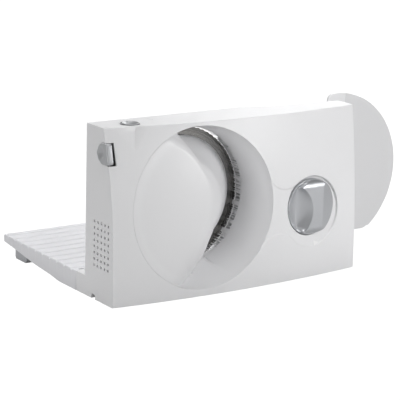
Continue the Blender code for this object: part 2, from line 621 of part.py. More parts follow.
boolean(table, grooves)
for k, sgn in enumerate((-1, 1)):
    cx = sgn * (L / 2 - 9.0)
    boolean(table, lambda b: add_box(b, cx - 3.2, cx + 3.2, TABLE_Y0 - 2, TABLE_Y0 + 5.0, TABLE_TOP - 6.5, TABLE_TOP + 3))
    boolean(table, lambda b: add_cyl(b, TABLE_AXIS, 1.05, cx - 8.0, cx + 8.0, "X", n=12))
    bm = bmesh.new()
    add_cyl(bm, TABLE_AXIS, 0.9, cx - 7.6, cx + 7.6, "X", n=12)
    finish("table_pin_" + ("l", "r")[k], bm, STEEL, 0.3, 1.0, True)
for k, sgn in enumerate((-1, 1)):
    cx = sgn * (L / 2 - 11.2)
    bm = bmesh.new()
    add_prism(bm, [(210, 0), (234, 0), (236, 3), (236, table_z(236) - 4.7), (208, table_z(208) - 4.7), (208, 3)], cx - 7, cx + 7, "X")
    finish("table_leg_" + ("l", "r")[k], bm, (0.55, 0.56, 0.58), 0.6)

# ---------------------------------------------------------------------- feet
for k, (fx, fy) in enumerate(((-150, 14), (150, 14), (-150, 70), (150, 70))):
    bm = bmesh.new()
    top = Z0 + 2.8 if fy < 50 else Z0 + 1.2
    if fy < 50:
        add_lathe(bm, (fx, fy), [(0, 0), (6.0, 0), (6.5, 0.4), (6.5, Z0 - GAP), (2.0, Z0 - GAP), (2.0, top), (0, top)], "Z", n=20)
    else:
        add_lathe(bm, (fx, fy), [(0, 0), (5.2, 0), (5.7, 0.4), (5.7, TABLE_TOP - WALL - GAP), (0, TABLE_TOP - WALL - GAP)], "Z", n=20)
    finish("foot_" + str(k + 1), bm, DARK, 0.8, 0.0, True)

# -------------------------------------------------------------------- screws
for k, (sx, sz, sy) in enumerate(SCREWS):
    bm = bmesh.new()
    add_lathe(bm, (sx, sz), [(0, sy - 18), (1.6, sy - 17), (1.6, sy - 1.3), (3.5, sy - 1.3), (3.5, sy - 0.3), (1.6, sy), (1.6, sy - 0.8), (0, sy - 0.8)], n=16)
    finish("housing_screw_" + str(k + 1), bm, STEEL, 0.35, 1.0, True)

# ---------------------------------------------- origin at the bottom centre
lo, hi = [1e9] * 3, [-1e9] * 3
nodes = [o for o in bpy.data.objects if o.type == "MESH"]
for o in nodes:
    for v in o.data.vertices:
        for i in range(3):
            lo[i] = min(lo[i], v.co[i])
            hi[i] = max(hi[i], v.co[i])
off = Vector((-(lo[0] + hi[0]) / 2, -(lo[1] + hi[1]) / 2, -lo[2]))
AXES = {
    "thickness_knob": (KNOB_C[0], 0, KNOB_C[1]), "dial_spindle": (KNOB_C[0], 0, KNOB_C[1]),
    "blade": (BLADE_C[0], 58, BLADE_C[1]), "blade_gear": (BLADE_C[0], 58, BLADE_C[1]),
    "blade_spindle": (BLADE_C[0], 58, BLADE_C[1]), "blade_screw": (BLADE_C[0], 58, BLADE_C[1]),
    "idler_gear": (IDLER_C[0], 30, IDLER_C[1]),
    "motor_shaft": (MOTOR_C[0], MOTOR_C[1], 60), "cooling_fan": (MOTOR_C[0], MOTOR_C[1], 60),
    "fence_wing": (WING_AXIS[0], WING_AXIS[1], 110), "wing_pin": (WING_AXIS[0], WING_AXIS[1], 110),
    "table": (0, TABLE_AXIS[0], TABLE_AXIS[1]), "table_leg_l": (0, TABLE_AXIS[0], TABLE_AXIS[1]),
    "table_leg_r": (0, TABLE_AXIS[0], TABLE_AXIS[1]),
}
for o in nodes:
    ax = Vector(AXES.get(o.name, (0, 0, 0))) * MM
    for v in o.data.vertices:
        v.co -= ax
    o.location = ax + off
    o.data.update()
print("offset_mm", [round(c * 1000, 3) for c in off], "size_mm", [round((hi[i] - lo[i]) * 1000, 2) for i in range(3)], "nodes", len(nodes))
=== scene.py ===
"""Looks for the folding food slicer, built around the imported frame.

Shapes are worked out in millimetres in the housing's own coordinates
(x along the housing, y from the slice side to the food side, z up), then
moved into the frame. Each fine piece stands for the plain solid it replaces."""
import bpy
import bmesh
import json
import math
from mathutils import Vector, Matrix
from mathutils.geometry import delaunay_2d_cdt


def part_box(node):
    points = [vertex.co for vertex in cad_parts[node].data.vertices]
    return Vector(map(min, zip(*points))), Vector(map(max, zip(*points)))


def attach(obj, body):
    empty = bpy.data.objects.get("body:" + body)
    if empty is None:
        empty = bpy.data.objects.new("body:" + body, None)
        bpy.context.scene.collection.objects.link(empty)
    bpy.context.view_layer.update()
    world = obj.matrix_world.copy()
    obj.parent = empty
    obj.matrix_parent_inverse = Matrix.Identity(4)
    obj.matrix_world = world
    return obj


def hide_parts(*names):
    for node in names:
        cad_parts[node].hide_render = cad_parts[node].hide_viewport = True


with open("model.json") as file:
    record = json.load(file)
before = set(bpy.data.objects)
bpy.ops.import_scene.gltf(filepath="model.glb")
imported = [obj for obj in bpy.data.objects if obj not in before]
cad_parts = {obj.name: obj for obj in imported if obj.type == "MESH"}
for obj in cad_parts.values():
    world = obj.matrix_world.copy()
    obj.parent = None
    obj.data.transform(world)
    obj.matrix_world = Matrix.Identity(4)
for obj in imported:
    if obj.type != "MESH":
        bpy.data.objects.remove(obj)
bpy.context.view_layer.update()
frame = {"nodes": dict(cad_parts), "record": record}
NODES = frame["nodes"]
BODY = {n: b for b, ns in frame["record"]["behaviour"]["bodies"].items() for n in ns}

MM = 0.001
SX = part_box("rear_housing")[0].x * 1000 + 172.3
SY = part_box("table")[1].y * 1000 - 258.0
SZ = 0.0
TO_FRAME = Matrix.Translation((SX * MM, SY * MM, SZ * MM)) @ Matrix.Scale(MM, 4)

# ------------------------------------------------------------- dimensions, mm
L, H, Z0, WALL = 344.6, 201.5, 1.5, 3.0
BACK_L, BACK_R, STEP_X = 61.0, 44.0, 6.0
BLADE_C, BLADE_R, BLADE_Y, BLADE_T, HOLE_R = (-52.0, 102.5), 85.0, 58.8, 1.2, 88.6
BOWL_C, BOWL_R = (-54.0, 103.5), 93.7
DOME_C, DOME_R, DOME_Y = (-53.5, 105.5), 71.8, 55.2
FLAT_C, FLAT_R = (-118.6, 113.3), 68.0   # where the dome's flat face starts to fall away
LIP_C, LIP_R, LIP_Y, FLOOR_Z = (-52.5, 105.5), 83.4, 39.5, 29.5
KNOB_C, KNOB_R = (97.0, 88.5), 34.0
POCKET_C, POCKET_R = (99.0, 82.0), 42.8
UP_C, UP_R = (61.2, 142.1), 28.3        # fillet above the neck of the recess
LOW_C, LOW_R = (48.2, 32.5), 28.3       # fillet below it
FENCE_Y, FENCE_T, FENCE_Z0 = 58.2, 3.2, 29.5
WING_C, WING_R, WING_SEAM, WING_AXIS = (181.0, 109.0), 98.3, 195.6, (198.6, 65.2)
TABLE_Y0, TABLE_Y1, TABLE_TOP, TABLE_AXIS = 81.8, 258.0, 24.6, (83.2, 22.4)
BTN_C, BTN_R = (-132.5, 34.5), 11.2
GROOVE_X, GROOVE_Z0, GROOVE_W, GROOVE_D = -139.4, 176.0, 20.0, 6.8
GAP = 0.3


# --------------------------------------------------------- surface functions
def clamp(v, a=0.0, b=1.0):
    return min(max(v, a), b)


def smooth01(v):
    v = clamp(v)
    return v * v * (3 - 2 * v)


def lean(x, z):
    t, s = clamp(z / H), x / L + 0.5
    return (26.3 - 10.15 * s) * t ** (3.0 - s)


def front_y(x, z):
    t = clamp(z / H)
    return lean(x, z) - (11.35 + 4.7 * t) * (1.0 - (2.0 * x / L) ** 2)


def groove_mid(z):
    return GROOVE_X + 8.0 * (z - GROOVE_Z0) / (H - GROOVE_Z0)


def groove_depth(x, z):
    """Thumb groove below the switch button."""
    if z <= GROOVE_Z0:
        return 0.0
    h = (z - GROOVE_Z0) / (H - GROOVE_Z0)
    w = GROOVE_W * h ** 0.72
    m = groove_mid(z)
    u = (m - x) / (m - GROOVE_X + w) if x < m else (x - m) / (GROOVE_X + w - m)
    if u >= 1:
        return 0.0
    d = GROOVE_D * h ** 0.8 * (1.0 - 0.35 * smooth01((h - 0.75) / 0.25))
    return d * (1 - u) ** 1.4


def inside_recess(x, z):
    """Distance inside the outline of the dial's recess: a round pocket joined
    to the bowl by a neck between two fillets."""
    dx, dz = x - POCKET_C[0], z - POCKET_C[1]
    a = math.degrees(math.atan2(dz, dx)) % 360
    if 122.2 < a < 224.3:
        b = math.degrees(math.atan2(z - BOWL_C[1], x - BOWL_C[0]))
        if b > 18.6 or b < -34.9:
            return -6.0
        return min(math.hypot(x - UP_C[0], z - UP_C[1]) - UP_R,
                   math.hypot(x - LOW_C[0], z - LOW_C[1]) - LOW_R)
    return POCKET_R - math.hypot(dx, dz)


def recess_step(x, z):
    """Height of the step round the recess: high above and right, low below."""
    a = math.atan2(z - POCKET_C[1], x - POCKET_C[0])
    s = 0.6 + 2.5 * (0.5 + 0.5 * math.sin(a + math.radians(28)))
    n = smooth01((x - 34.0) / 46.0)
    return s * n + 1.0 * (1 - n)


def front_base(x, z):
    return front_y(x, z) + groove_depth(x, z)


def front_surface(x, z):
    y = front_base(x, z)
    # recess of the dial
    sd = inside_recess(x, z)
    if sd > -0.4:
        s = recess_step(x, z)
        y += s * smooth01((sd + 0.4) / 1.9) + 0.07 * max(sd - 1.5, 0) * smooth01((x - 60) / 20.0)
    rk = math.hypot(x - KNOB_C[0], z - KNOB_C[1])
    if rk < KNOB_R + 1.3:
        y = y + (max(y, -2.3) - y) * clamp((KNOB_R + 1.3 - rk) / 0.5)
    # rolled edges: bowl opening, then the outer border
    e = math.hypot(x - BOWL_C[0], z - BOWL_C[1]) - BOWL_R
    if 0 <= e < 0.25:
        y += 0.25 * (1 - math.sqrt(max(0.0, 1 - (1 - e / 0.25) ** 2)))
    for d, r in ((x + L / 2, 0.7), (L / 2 - x, 0.7), (z - Z0, 0.7), (H - z, 1.0)):
        if d < r:
            y += r * (1 - math.sqrt(max(0.0, 1 - (1 - max(d, 0) / r) ** 2)))
    return y


def lip_radius(ph):
    dx, dz = math.cos(ph), math.sin(ph)
    ox, oz = BOWL_C[0] - LIP_C[0], BOWL_C[1] - LIP_C[1]
    bq = ox * dx + oz * dz
    cq = ox * ox + oz * oz - LIP_R ** 2
    r = -bq + math.sqrt(bq * bq - cq)
    if dz < -0.2:
        r = min(r, (BOWL_C[1] - FLOOR_Z) / -dz)
    return r


def dome_edge(a):
    """Radius of the dome's free edge, by direction in degrees from its centre."""
    if a > 95:
        return DOME_R + 3.0 * (a - 95)
    u = max(-57.0 - a, 0.0)
    return DOME_R + 0.77 * min(u, 20.3) + 2.2 * max(0.0, u - 20.3)


def dome_depth(x, z):
    dx, dz = x - DOME_C[0], z - DOME_C[1]
    return dome_edge(math.degrees(math.atan2(dz, dx))) - math.hypot(dx, dz)


def dome_y(x, z):
    d = dome_depth(x, z)
    sx, sz = x - FLAT_C[0], z - FLAT_C[1]
    s = math.hypot(sx, sz) - FLAT_R - 1.2 * max(0.0, -62.0 - math.degrees(math.atan2(sz, sx)))
    flush = front_y(x, z) + 0.7
    if s <= 0:
        return flush
    if d <= 0:
        return DOME_Y
    t, a = s / (s + d), 0.42
    t = t * t / (2 * a) if t < a else t - a / 2
    return flush + (DOME_Y - flush) * t / (1 - a / 2)


def scoop_y(x, z):
    dx, dz = x - BOWL_C[0], z - BOWL_C[1]
    r = math.hypot(dx, dz)
    rl = lip_radius(math.atan2(dz, dx))
    fr = front_y(x, z)
    q = (BOWL_R - r) / (BOWL_R - rl)
    if q <= 0:
        return fr + 0.7
    if q >= 1:
        return 99.0
    return fr + 0.7 + (LIP_Y - fr - 0.7) * (q ** 0.8)


def soft_min(a, b, k):
    h = clamp(0.5 + 0.5 * (b - a) / k)
    return b * (1 - h) + a * h - k * h * (1 - h)


def bowl_surface(x, z):
    r = math.hypot(x - BOWL_C[0], z - BOWL_C[1])
    y = soft_min(dome_y(x, z), scoop_y(x, z), 1.2)
    e = BOWL_R - 0.03 - r
    # the rim stands a little proud of the front and eases back inwards
    if e < 12.0:
        y -= 0.55 + 0.45 * smooth01(e / 0.6) if e < 0.6 else 1.0 - smooth01((e - 0.6) / 11.4)
    # the lip rolls over into the gap
    el = math.hypot(x - LIP_C[0], z - LIP_C[1]) - LIP_R
    if -0.2 <= el < 3.4:
        k = clamp(-dome_depth(x, z) / 3.0)
        y += k * 5.2 * (1 - math.sqrt(max(0.0, 1 - (1 - max(el, 0.0) / 3.4) ** 2)))
    return y


# ---------------------------------------------------------------- materials
def nodes_of(m):
    m.use_nodes = True
    return m.node_tree.nodes, m.node_tree.links, m.node_tree.nodes["Principled BSDF"]


def colour_noise(nt, lk, b, rgb, amount, scale, detail=3.0):
    """Slight uneven tone in the base colour."""
    tc = nt.new("ShaderNodeTexCoord")
    no = nt.new("ShaderNodeTexNoise")
    no.inputs["Scale"].default_value = scale
    no.inputs["Detail"].default_value = detail
    lk.new(tc.outputs["Object"], no.inputs["Vector"])
    ramp = nt.new("ShaderNodeValToRGB")
    ramp.color_ramp.elements[0].position = 0.3
    ramp.color_ramp.elements[1].position = 0.7
    ramp.color_ramp.elements[0].color = tuple(clamp(c * (1 - amount)) for c in rgb) + (1.0,)
    ramp.color_ramp.elements[1].color = tuple(clamp(c * (1 + amount)) for c in rgb) + (1.0,)
    lk.new(no.outputs["Fac"], ramp.inputs["Fac"])
    lk.new(ramp.outputs["Color"], b.inputs["Base Color"])
    return tc


def rough_noise(nt, lk, b, tc, lo, hi, scale):
    no = nt.new("ShaderNodeTexNoise")
    no.inputs["Scale"].default_value = scale
    no.inputs["Detail"].default_value = 4.0
    lk.new(tc.outputs["Object"], no.inputs["Vector"])
    mr = nt.new("ShaderNodeMapRange")
    mr.inputs["From Min"].default_value = 0.3
    mr.inputs["From Max"].default_value = 0.7
    mr.inputs["To Min"].default_value = lo
    mr.inputs["To Max"].default_value = hi
    lk.new(no.outputs["Fac"], mr.inputs["Value"])
    lk.new(mr.outputs["Result"], b.inputs["Roughness"])


def fine_bump(nt, lk, b, tc, scale, strength, dist):
    no = nt.new("ShaderNodeTexNoise")
    no.inputs["Scale"].default_value = scale
    no.inputs["Detail"].default_value = 2.0
    lk.new(tc.outputs["Object"], no.inputs["Vector"])
    bp = nt.new("ShaderNodeBump")
    bp.inputs["Strength"].default_value = strength
    bp.inputs["Distance"].default_value = dist
    lk.new(no.outputs["Fac"], bp.inputs["Height"])
    lk.new(bp.outputs["Normal"], b.inputs["Normal"])


def plastic(name, rgb, rough=(0.34, 0.42), tone=0.012, grain=2600.0, bump=0.06, coat=0.0, spec=0.5, metal=0.0):
    m = bpy.data.materials.new(name)
    nt, lk, b = nodes_of(m)
    b.inputs["Metallic"].default_value = metal
    b.inputs["Specular IOR Level"].default_value = spec
    b.inputs["Coat Weight"].default_value = coat
    b.inputs["Coat Roughness"].default_value = 0.2
    tc = colour_noise(nt, lk, b, rgb, tone, 9.0)
    rough_noise(nt, lk, b, tc, rough[0], rough[1], 60.0)
    fine_bump(nt, lk, b, tc, grain, bump, 0.0001)
    return m


def turned_steel(name, rgb, centre, rough=(0.18, 0.34), rings=900.0, tone=0.12):
    """Steel with fine rings about an axis along y through centre."""
    m = bpy.data.materials.new(name)
    nt, lk, b = nodes_of(m)
    b.inputs["Metallic"].default_value = 1.0
    tc = nt.new("ShaderNodeTexCoord")
    sub = nt.new("ShaderNodeVectorMath")
    sub.operation = "SUBTRACT"
    sub.inputs[1].default_value = ((centre[0] + SX) * MM, 0.0, (centre[1] + SZ) * MM)
    lk.new(tc.outputs["Object"], sub.inputs[0])
    flat = nt.new("ShaderNodeVectorMath")
    flat.operation = "MULTIPLY"
    flat.inputs[1].default_value = (1.0, 0.0, 1.0)
    lk.new(sub.outputs["Vector"], flat.inputs[0])
    ln = nt.new("ShaderNodeVectorMath")
    ln.operation = "LENGTH"
    lk.new(flat.outputs["Vector"], ln.inputs[0])
    no = nt.new("ShaderNodeTexNoise")
    no.noise_dimensions = "1D"
    no.inputs["Scale"].default_value = rings
    no.inputs["Detail"].default_value = 3.0
    lk.new(ln.outputs["Value"], no.inputs["W"])
    ramp = nt.new("ShaderNodeValToRGB")
    ramp.color_ramp.elements[0].position = 0.3
    ramp.color_ramp.elements[1].position = 0.7
    ramp.color_ramp.elements[0].color = tuple(c * (1 - tone) for c in rgb) + (1.0,)
    ramp.color_ramp.elements[1].color = tuple(clamp(c * (1 + tone)) for c in rgb) + (1.0,)
    lk.new(no.outputs["Fac"], ramp.inputs["Fac"])
    lk.new(ramp.outputs["Color"], b.inputs["Base Color"])
    mr = nt.new("ShaderNodeMapRange")
    mr.inputs["From Min"].default_value = 0.3
    mr.inputs["From Max"].default_value = 0.7
    mr.inputs["To Min"].default_value = rough[0]
    mr.inputs["To Max"].default_value = rough[1]
    lk.new(no.outputs["Fac"], mr.inputs["Value"])
    lk.new(mr.outputs["Result"], b.inputs["Roughness"])
    bp = nt.new("ShaderNodeBump")
    bp.inputs["Strength"].default_value = 0.08
    bp.inputs["Distance"].default_value = 0.0001
    lk.new(no.outputs["Fac"], bp.inputs["Height"])
    lk.new(bp.outputs["Normal"], b.inputs["Normal"])
    return m


WHITE = (0.84, 0.84, 0.85)
M_FRONT = plastic("white_front", WHITE)
M_HOUSING = plastic("white_housing", WHITE)
M_BOWL = plastic("white_bowl", WHITE, rough=(0.31, 0.325), tone=0.006, bump=0.03)
M_FENCE = plastic("white_fence", (0.83, 0.83, 0.84), rough=(0.38, 0.46))
# painted shade: the wing's white plastic is made darker than the fence's to stand in for the shade that falls on it
M_WING_PAINTED_SHADE = plastic("white_wing_painted_shade", (0.74, 0.74, 0.75), rough=(0.4, 0.48))
M_TABLE = plastic("white_table", (0.82, 0.82, 0.845), rough=(0.4, 0.5))
M_SILVER = plastic("silver_lacquer", (0.52, 0.53, 0.55), rough=(0.27, 0.34), tone=0.03, grain=5200.0, bump=0.1, metal=0.75)
M_BUTTON = plastic("silver_button", (0.53, 0.54, 0.555), rough=(0.36, 0.44), tone=0.03, grain=5200.0, bump=0.08, metal=0.45)
M_CAP = plastic("silver_cap", (0.30, 0.305, 0.315), rough=(0.36, 0.44), tone=0.03, grain=5200.0, bump=0.08, metal=0.45)
M_MARK = plastic("white_mark", (0.97, 0.97, 0.97), rough=(0.3, 0.36))
M_RUBBER = plastic("grey_rubber", (0.55, 0.56, 0.58), rough=(0.72, 0.85), tone=0.08, grain=1800.0, bump=0.3)
M_DARK = plastic("dark_rubber", (0.035, 0.035, 0.038), rough=(0.6, 0.75), tone=0.15, grain=1800.0, bump=0.3)
M_BLACK = plastic("black_moulding", (0.03, 0.03, 0.033), rough=(0.4, 0.5), tone=0.12, grain=2200.0, bump=0.15)
M_GREY = plastic("grey_moulding", (0.48, 0.49, 0.50), rough=(0.45, 0.58), tone=0.04, grain=1500.0, bump=0.15)
M_NATURAL = plastic("natural_moulding", (0.70, 0.67, 0.57), rough=(0.38, 0.5), tone=0.05, grain=1500.0, bump=0.1)
M_BLADE = turned_steel("blade_steel", (0.30, 0.295, 0.285), BLADE_C, rough=(0.16, 0.3))
M_STEEL = turned_steel("turned_steel", (0.55, 0.56, 0.57), BLADE_C, rough=(0.22, 0.36))
M_PLATED = plastic("plated_steel", (0.56, 0.57, 0.58), rough=(0.25, 0.4), tone=0.06, grain=1400.0, bump=0.1, metal=1.0)
M_BRASS = plastic("sintered_bronze", (0.62, 0.45, 0.20), rough=(0.35, 0.5), tone=0.1, grain=3000.0, bump=0.3, metal=1.0)


# ------------------------------------------------------------- mesh helpers
def new_object(name, bm, material, angle=40.0):
    bmesh.ops.recalc_face_normals(bm, faces=bm.faces)
    me = bpy.data.meshes.new(name)
    bm.to_mesh(me)
    bm.free()
    ob = bpy.data.objects.new(name, me)
    bpy.context.scene.collection.objects.link(ob)
    me.materials.append(material)
    me.shade_smooth()
    me.set_sharp_from_angle(angle=math.radians(angle))
    return ob


def settle(ob, node, others=(), bevel=0.0, seg=2, angle=50.0):
    """Move a finished piece into the frame, on the body of the node it stands for."""
    ob.data.transform(TO_FRAME)
    ob.data.update()
    if bevel:
        md = ob.modifiers.new("edge", "BEVEL")
        md.width = bevel * MM
        md.segments = seg
        md.limit_method = "ANGLE"
        md.angle_limit = math.radians(angle)
        md.harden_normals = True
        md.use_clamp_overlap = True
    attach(ob, BODY[node])
    if others is not None:
        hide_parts(node, *others)
    return ob


def axis_point(u, v, w, axis):
    return {"Y": (u, w, v), "X": (w, u, v), "Z": (u, v, w)}[axis]


def add_box(bm, x0, x1, y0, y1, z0, z1):
    vs = [bm.verts.new((x, y, z)) for x in (x0, x1) for y in (y0, y1) for z in (z0, z1)]
    for f in ((0, 1, 3, 2), (4, 6, 7, 5), (0, 4, 5, 1), (2, 3, 7, 6), (0, 2, 6, 4), (1, 5, 7, 3)):
        bm.faces.new([vs[i] for i in f])


def add_prism(bm, pts, w0, w1, axis="Y"):
    a = [bm.verts.new(axis_point(p[0], p[1], w0, axis)) for p in pts]
    b = [bm.verts.new(axis_point(p[0], p[1], w1, axis)) for p in pts]
    n = len(pts)
    bm.faces.new(a)
    bm.faces.new(list(reversed(b)))
    for i in range(n):
        j = (i + 1) % n
        bm.faces.new((a[i], b[i], b[j], a[j]))


def circle(c, r, n, a0=0.0):
    return [(c[0] + r * math.cos(a0 + 2 * math.pi * i / n), c[1] + r * math.sin(a0 + 2 * math.pi * i / n)) for i in range(n)]


def arc(c, r, a0, a1, n):
    return [(c[0] + r * math.cos(math.radians(a0 + (a1 - a0) * i / n)),
             c[1] + r * math.sin(math.radians(a0 + (a1 - a0) * i / n))) for i in range(n + 1)]


def add_cyl(bm, c, r, w0, w1, axis="Y", n=32):
    add_prism(bm, circle(c, r, n), w0, w1, axis)


def add_lathe(bm, c, prof, axis="Y", n=96):
    """prof is a closed loop of (radius, along)."""
    rings = []
    for r, w in prof:
        if r < 1e-6:
            rings.append([bm.verts.new(axis_point(c[0], c[1], w, axis))])
        else:
            rings.append([bm.verts.new(axis_point(p[0], p[1], w, axis)) for p in circle(c, r, n)])
    for k in range(len(rings)):
        a, b = rings[k], rings[(k + 1) % len(rings)]
        if len(a) == 1 and len(b) == 1:
            continue
        for i in range(n):
            j = (i + 1) % n
            if len(a) == 1:
                bm.faces.new((a[0], b[i], b[j]))
            elif len(b) == 1:
                bm.faces.new((a[i], b[0], a[j]))
            else:
                bm.faces.new((a[i], b[i], b[j], a[j]))


def cut(ob, make, op="DIFFERENCE"):
    """One exact boolean, applied."""
    bm = bmesh.new()
    make(bm)
    bmesh.ops.recalc_face_normals(bm, faces=bm.faces)
    me = bpy.data.meshes.new("cutter")
    bm.to_mesh(me)
    bm.free()
    t = bpy.data.objects.new("cutter", me)
    bpy.context.scene.collection.objects.link(t)
    md = ob.modifiers.new("b", "BOOLEAN")
    md.operation = op
    md.solver = "EXACT"
    md.object = t
    bpy.context.view_layer.update()
    new = bpy.data.meshes.new_from_object(ob.evaluated_get(bpy.context.evaluated_depsgraph_get()))
    ob.modifiers.remove(md)
    old, m = ob.data, ob.data.materials[0]
    ob.data = new
    new.materials.clear()
    new.materials.append(m)
    bpy.data.objects.remove(t, do_unlink=True)
    bpy.data.meshes.remove(me)
    bpy.data.meshes.remove(old)
    bm = bmesh.new()
    bm.from_mesh(new)
    bmesh.ops.remove_doubles(bm, verts=bm.verts, dist=1e-4)
    bmesh.ops.dissolve_degenerate(bm, edges=bm.edges, dist=1e-4)
    bm.to_mesh(new)
    bm.free()
    for p in new.polygons:
        p.material_index = 0
        p.use_smooth = True
    new.set_sharp_from_angle(angle=math.radians(35))
    return ob


def height_shell(name, material, points, curves, keep, front, back, axis="Y", angle=40.0):
    """Closed shell over a triangulated plan: front(u, v) on one side, back(u, v)
    on the other, walls round every border. curves are polylines kept as edges."""
    pts, edges = [Vector(p) for p in points], []
    for loop, closed in curves:
        base = len(pts)
        pts += [Vector(p) for p in loop]
        edges += [(base + i, base + i + 1) for i in range(len(loop) - 1)]
        if closed:
            edges.append((base + len(loop) - 1, base))
    vs, _, fs = delaunay_2d_cdt(pts, edges, [], 0, 1e-4)[:3]
    bm = bmesh.new()
    fa, fb = {}, {}

    def at(i, store, f):
        if i not in store:
            u, v = vs[i]
            store[i] = bm.verts.new(axis_point(u, v, f(u, v), axis))
        return store[i]

    count = {}
    tris = []
    for f in fs:
        cu = sum(vs[i][0] for i in f) / len(f)
        cv = sum(vs[i][1] for i in f) / len(f)
        if not keep(cu, cv):
            continue
        tris.append(list(f))
        for k in range(len(f)):
            a, b = f[k], f[(k + 1) % len(f)]
            count.setdefault((min(a, b), max(a, b)), []).append((a, b))
    for f in tris:
        bm.faces.new([at(i, fa, front) for i in f])
        bm.faces.new([at(i, fb, back) for i in reversed(f)])
    for key, uses in count.items():
        if len(uses) == 1:
            a, b = uses[0]
            bm.faces.new((fa[b], fa[a], fb[a], fb[b]))
    return new_object(name, bm, material, angle)


def hexgrid(u0, u1, v0, v1, step):
    out, j, v = [], 0, v0
    while v <= v1:
        u = u0 + (step / 2 if j % 2 else 0)
        while u <= u1:
            out.append((u, v))
            u += step
        v += step * 0.866
        j += 1
    return out


# -------------------------------------------------------------- front cover
def front_piece():
    slot_x, slot_z = (-L / 2, -162.6), (160.6, 185.6)
    curves, pts = [], []
    for e in (0, 0.12, 0.35, 0.7, 1.1, 2.2):
        x0, x1, z0, z1 = -L / 2 + e, L / 2 - e, Z0 + e, H - e
        n, m = 130, 76
        loop = [(x0 + (x1 - x0) * i / n, z0) for i in range(n)] + [(x1, z0 + (z1 - z0) * i / m) for i in range(m)]
        loop += [(x1 - (x1 - x0) * i / n, z1) for i in range(n)] + [(x0, z1 - (z1 - z0) * i / m) for i in range(m)]
        curves.append((loop, True))
    for e in (0, 0.1, 0.25, 0.45, 0.8, 1.4, 2.6):
        curves.append((circle(BOWL_C, BOWL_R + e, 300), True))
    # outline of the dial's recess, at several distances inside it
    for d in (-1.2, -0.4, -0.1, 0.2, 0.5, 0.8, 1.1, 1.5, 2.1, 3.2):
        up = [p for p in arc(UP_C, UP_R + d, 200, 360, 90)
              if inside_recess(p[0], p[1]) - d > -0.02 and 122.2 < math.degrees(math.atan2(p[1] - POCKET_C[1], p[0] - POCKET_C[0])) % 360
              and math.hypot(p[0] - BOWL_C[0], p[1] - BOWL_C[1]) > BOWL_R + 0.9]
        low = [p for p in arc(LOW_C, LOW_R + d, 160, 0, 90)
               if inside_recess(p[0], p[1]) - d > -0.02 and math.degrees(math.atan2(p[1] - POCKET_C[1], p[0] - POCKET_C[0])) % 360 < 224.3
               and math.hypot(p[0] - BOWL_C[0], p[1] - BOWL_C[1]) > BOWL_R + 0.9]
        pocket = arc(POCKET_C, POCKET_R - d, 122.0, -135.5, 170)
        for c in (up, low, pocket):
            if len(c) > 2:
                curves.append((c, False))
    for r in (KNOB_R + 1.3, KNOB_R + 1.05, KNOB_R + 0.8):
        curves.append((circle(KNOB_C, r, 160), True))
    for sx, sz in ((slot_x, slot_z),):
        curves.append(([(sx[0] - 3, sz[0]), (sx[1], sz[0]), (sx[1], sz[1]), (sx[0] - 3, sz[1])], True))

    def rim_gap(x, z):
        return math.hypot(x - BOWL_C[0], z - BOWL_C[1]) - BOWL_R

    for p in hexgrid(-L / 2 + 3, L / 2 - 3, Z0 + 3, H - 3, 3.2):
        if rim_gap(*p) > 3.4 and not (-4 < inside_recess(*p) < 5 and p[0] > 20) \
                and not (abs(p[0] - GROOVE_X) < GROOVE_W + 3 and p[1] > GROOVE_Z0 - 4) \
                and not (p[0] < slot_x[1] + 1 and slot_z[0] - 1 < p[1] < slot_z[1] + 1):
            pts.append(p)
    for p in hexgrid(20, 146, 30, 130, 1.5):
        if -4 <= inside_recess(*p) < 6 and not (-1.6 < inside_recess(*p) < 3.6) and rim_gap(*p) > 3.2 and math.hypot(p[0] - KNOB_C[0], p[1] - KNOB_C[1]) > KNOB_R + 2:
            pts.append(p)
    for p in hexgrid(GROOVE_X - GROOVE_W - 3, GROOVE_X + GROOVE_W + 3, GROOVE_Z0 - 4, H - 2.8, 0.9):
        if p[0] > -L / 2 + 3 and rim_gap(*p) > 3.2 and abs(p[0] - groove_mid(p[1])) > 0.5:
            pts.append(p)
    curves.append(([(groove_mid(GROOVE_Z0 + 0.2 + 0.5 * i), GROOVE_Z0 + 0.2 + 0.5 * i) for i in range(46)], False))

    def keep(x, z):
        if not (-L / 2 < x < L / 2 and Z0 < z < H):
            return False
        if math.hypot(x - BOWL_C[0], z - BOWL_C[1]) < BOWL_R - 0.01:
            return False
        return not (x < slot_x[1] and slot_z[0] < z < slot_z[1])

    def back(x, z):
        e = min(x + L / 2, L / 2 - x, z - Z0, H - z)
        rk = math.hypot(x - KNOB_C[0], z - KNOB_C[1])
        if e < 3.4:
            return front_surface(x, z) + 0.16
        return (front_surface(x, z) if rk > KNOB_R + 1.3 else max(front_surface(x, z), -2.3)) + 2.0

    ob = height_shell("front_cover_shell", M_FRONT, pts, curves, keep, front_surface, back)
    # bore of the dial's spindle
    cut(ob, lambda b: add_cyl(b, KNOB_C, 6.2, -20, 20, n=48))
    return settle(ob, "front_cover")


front_piece()


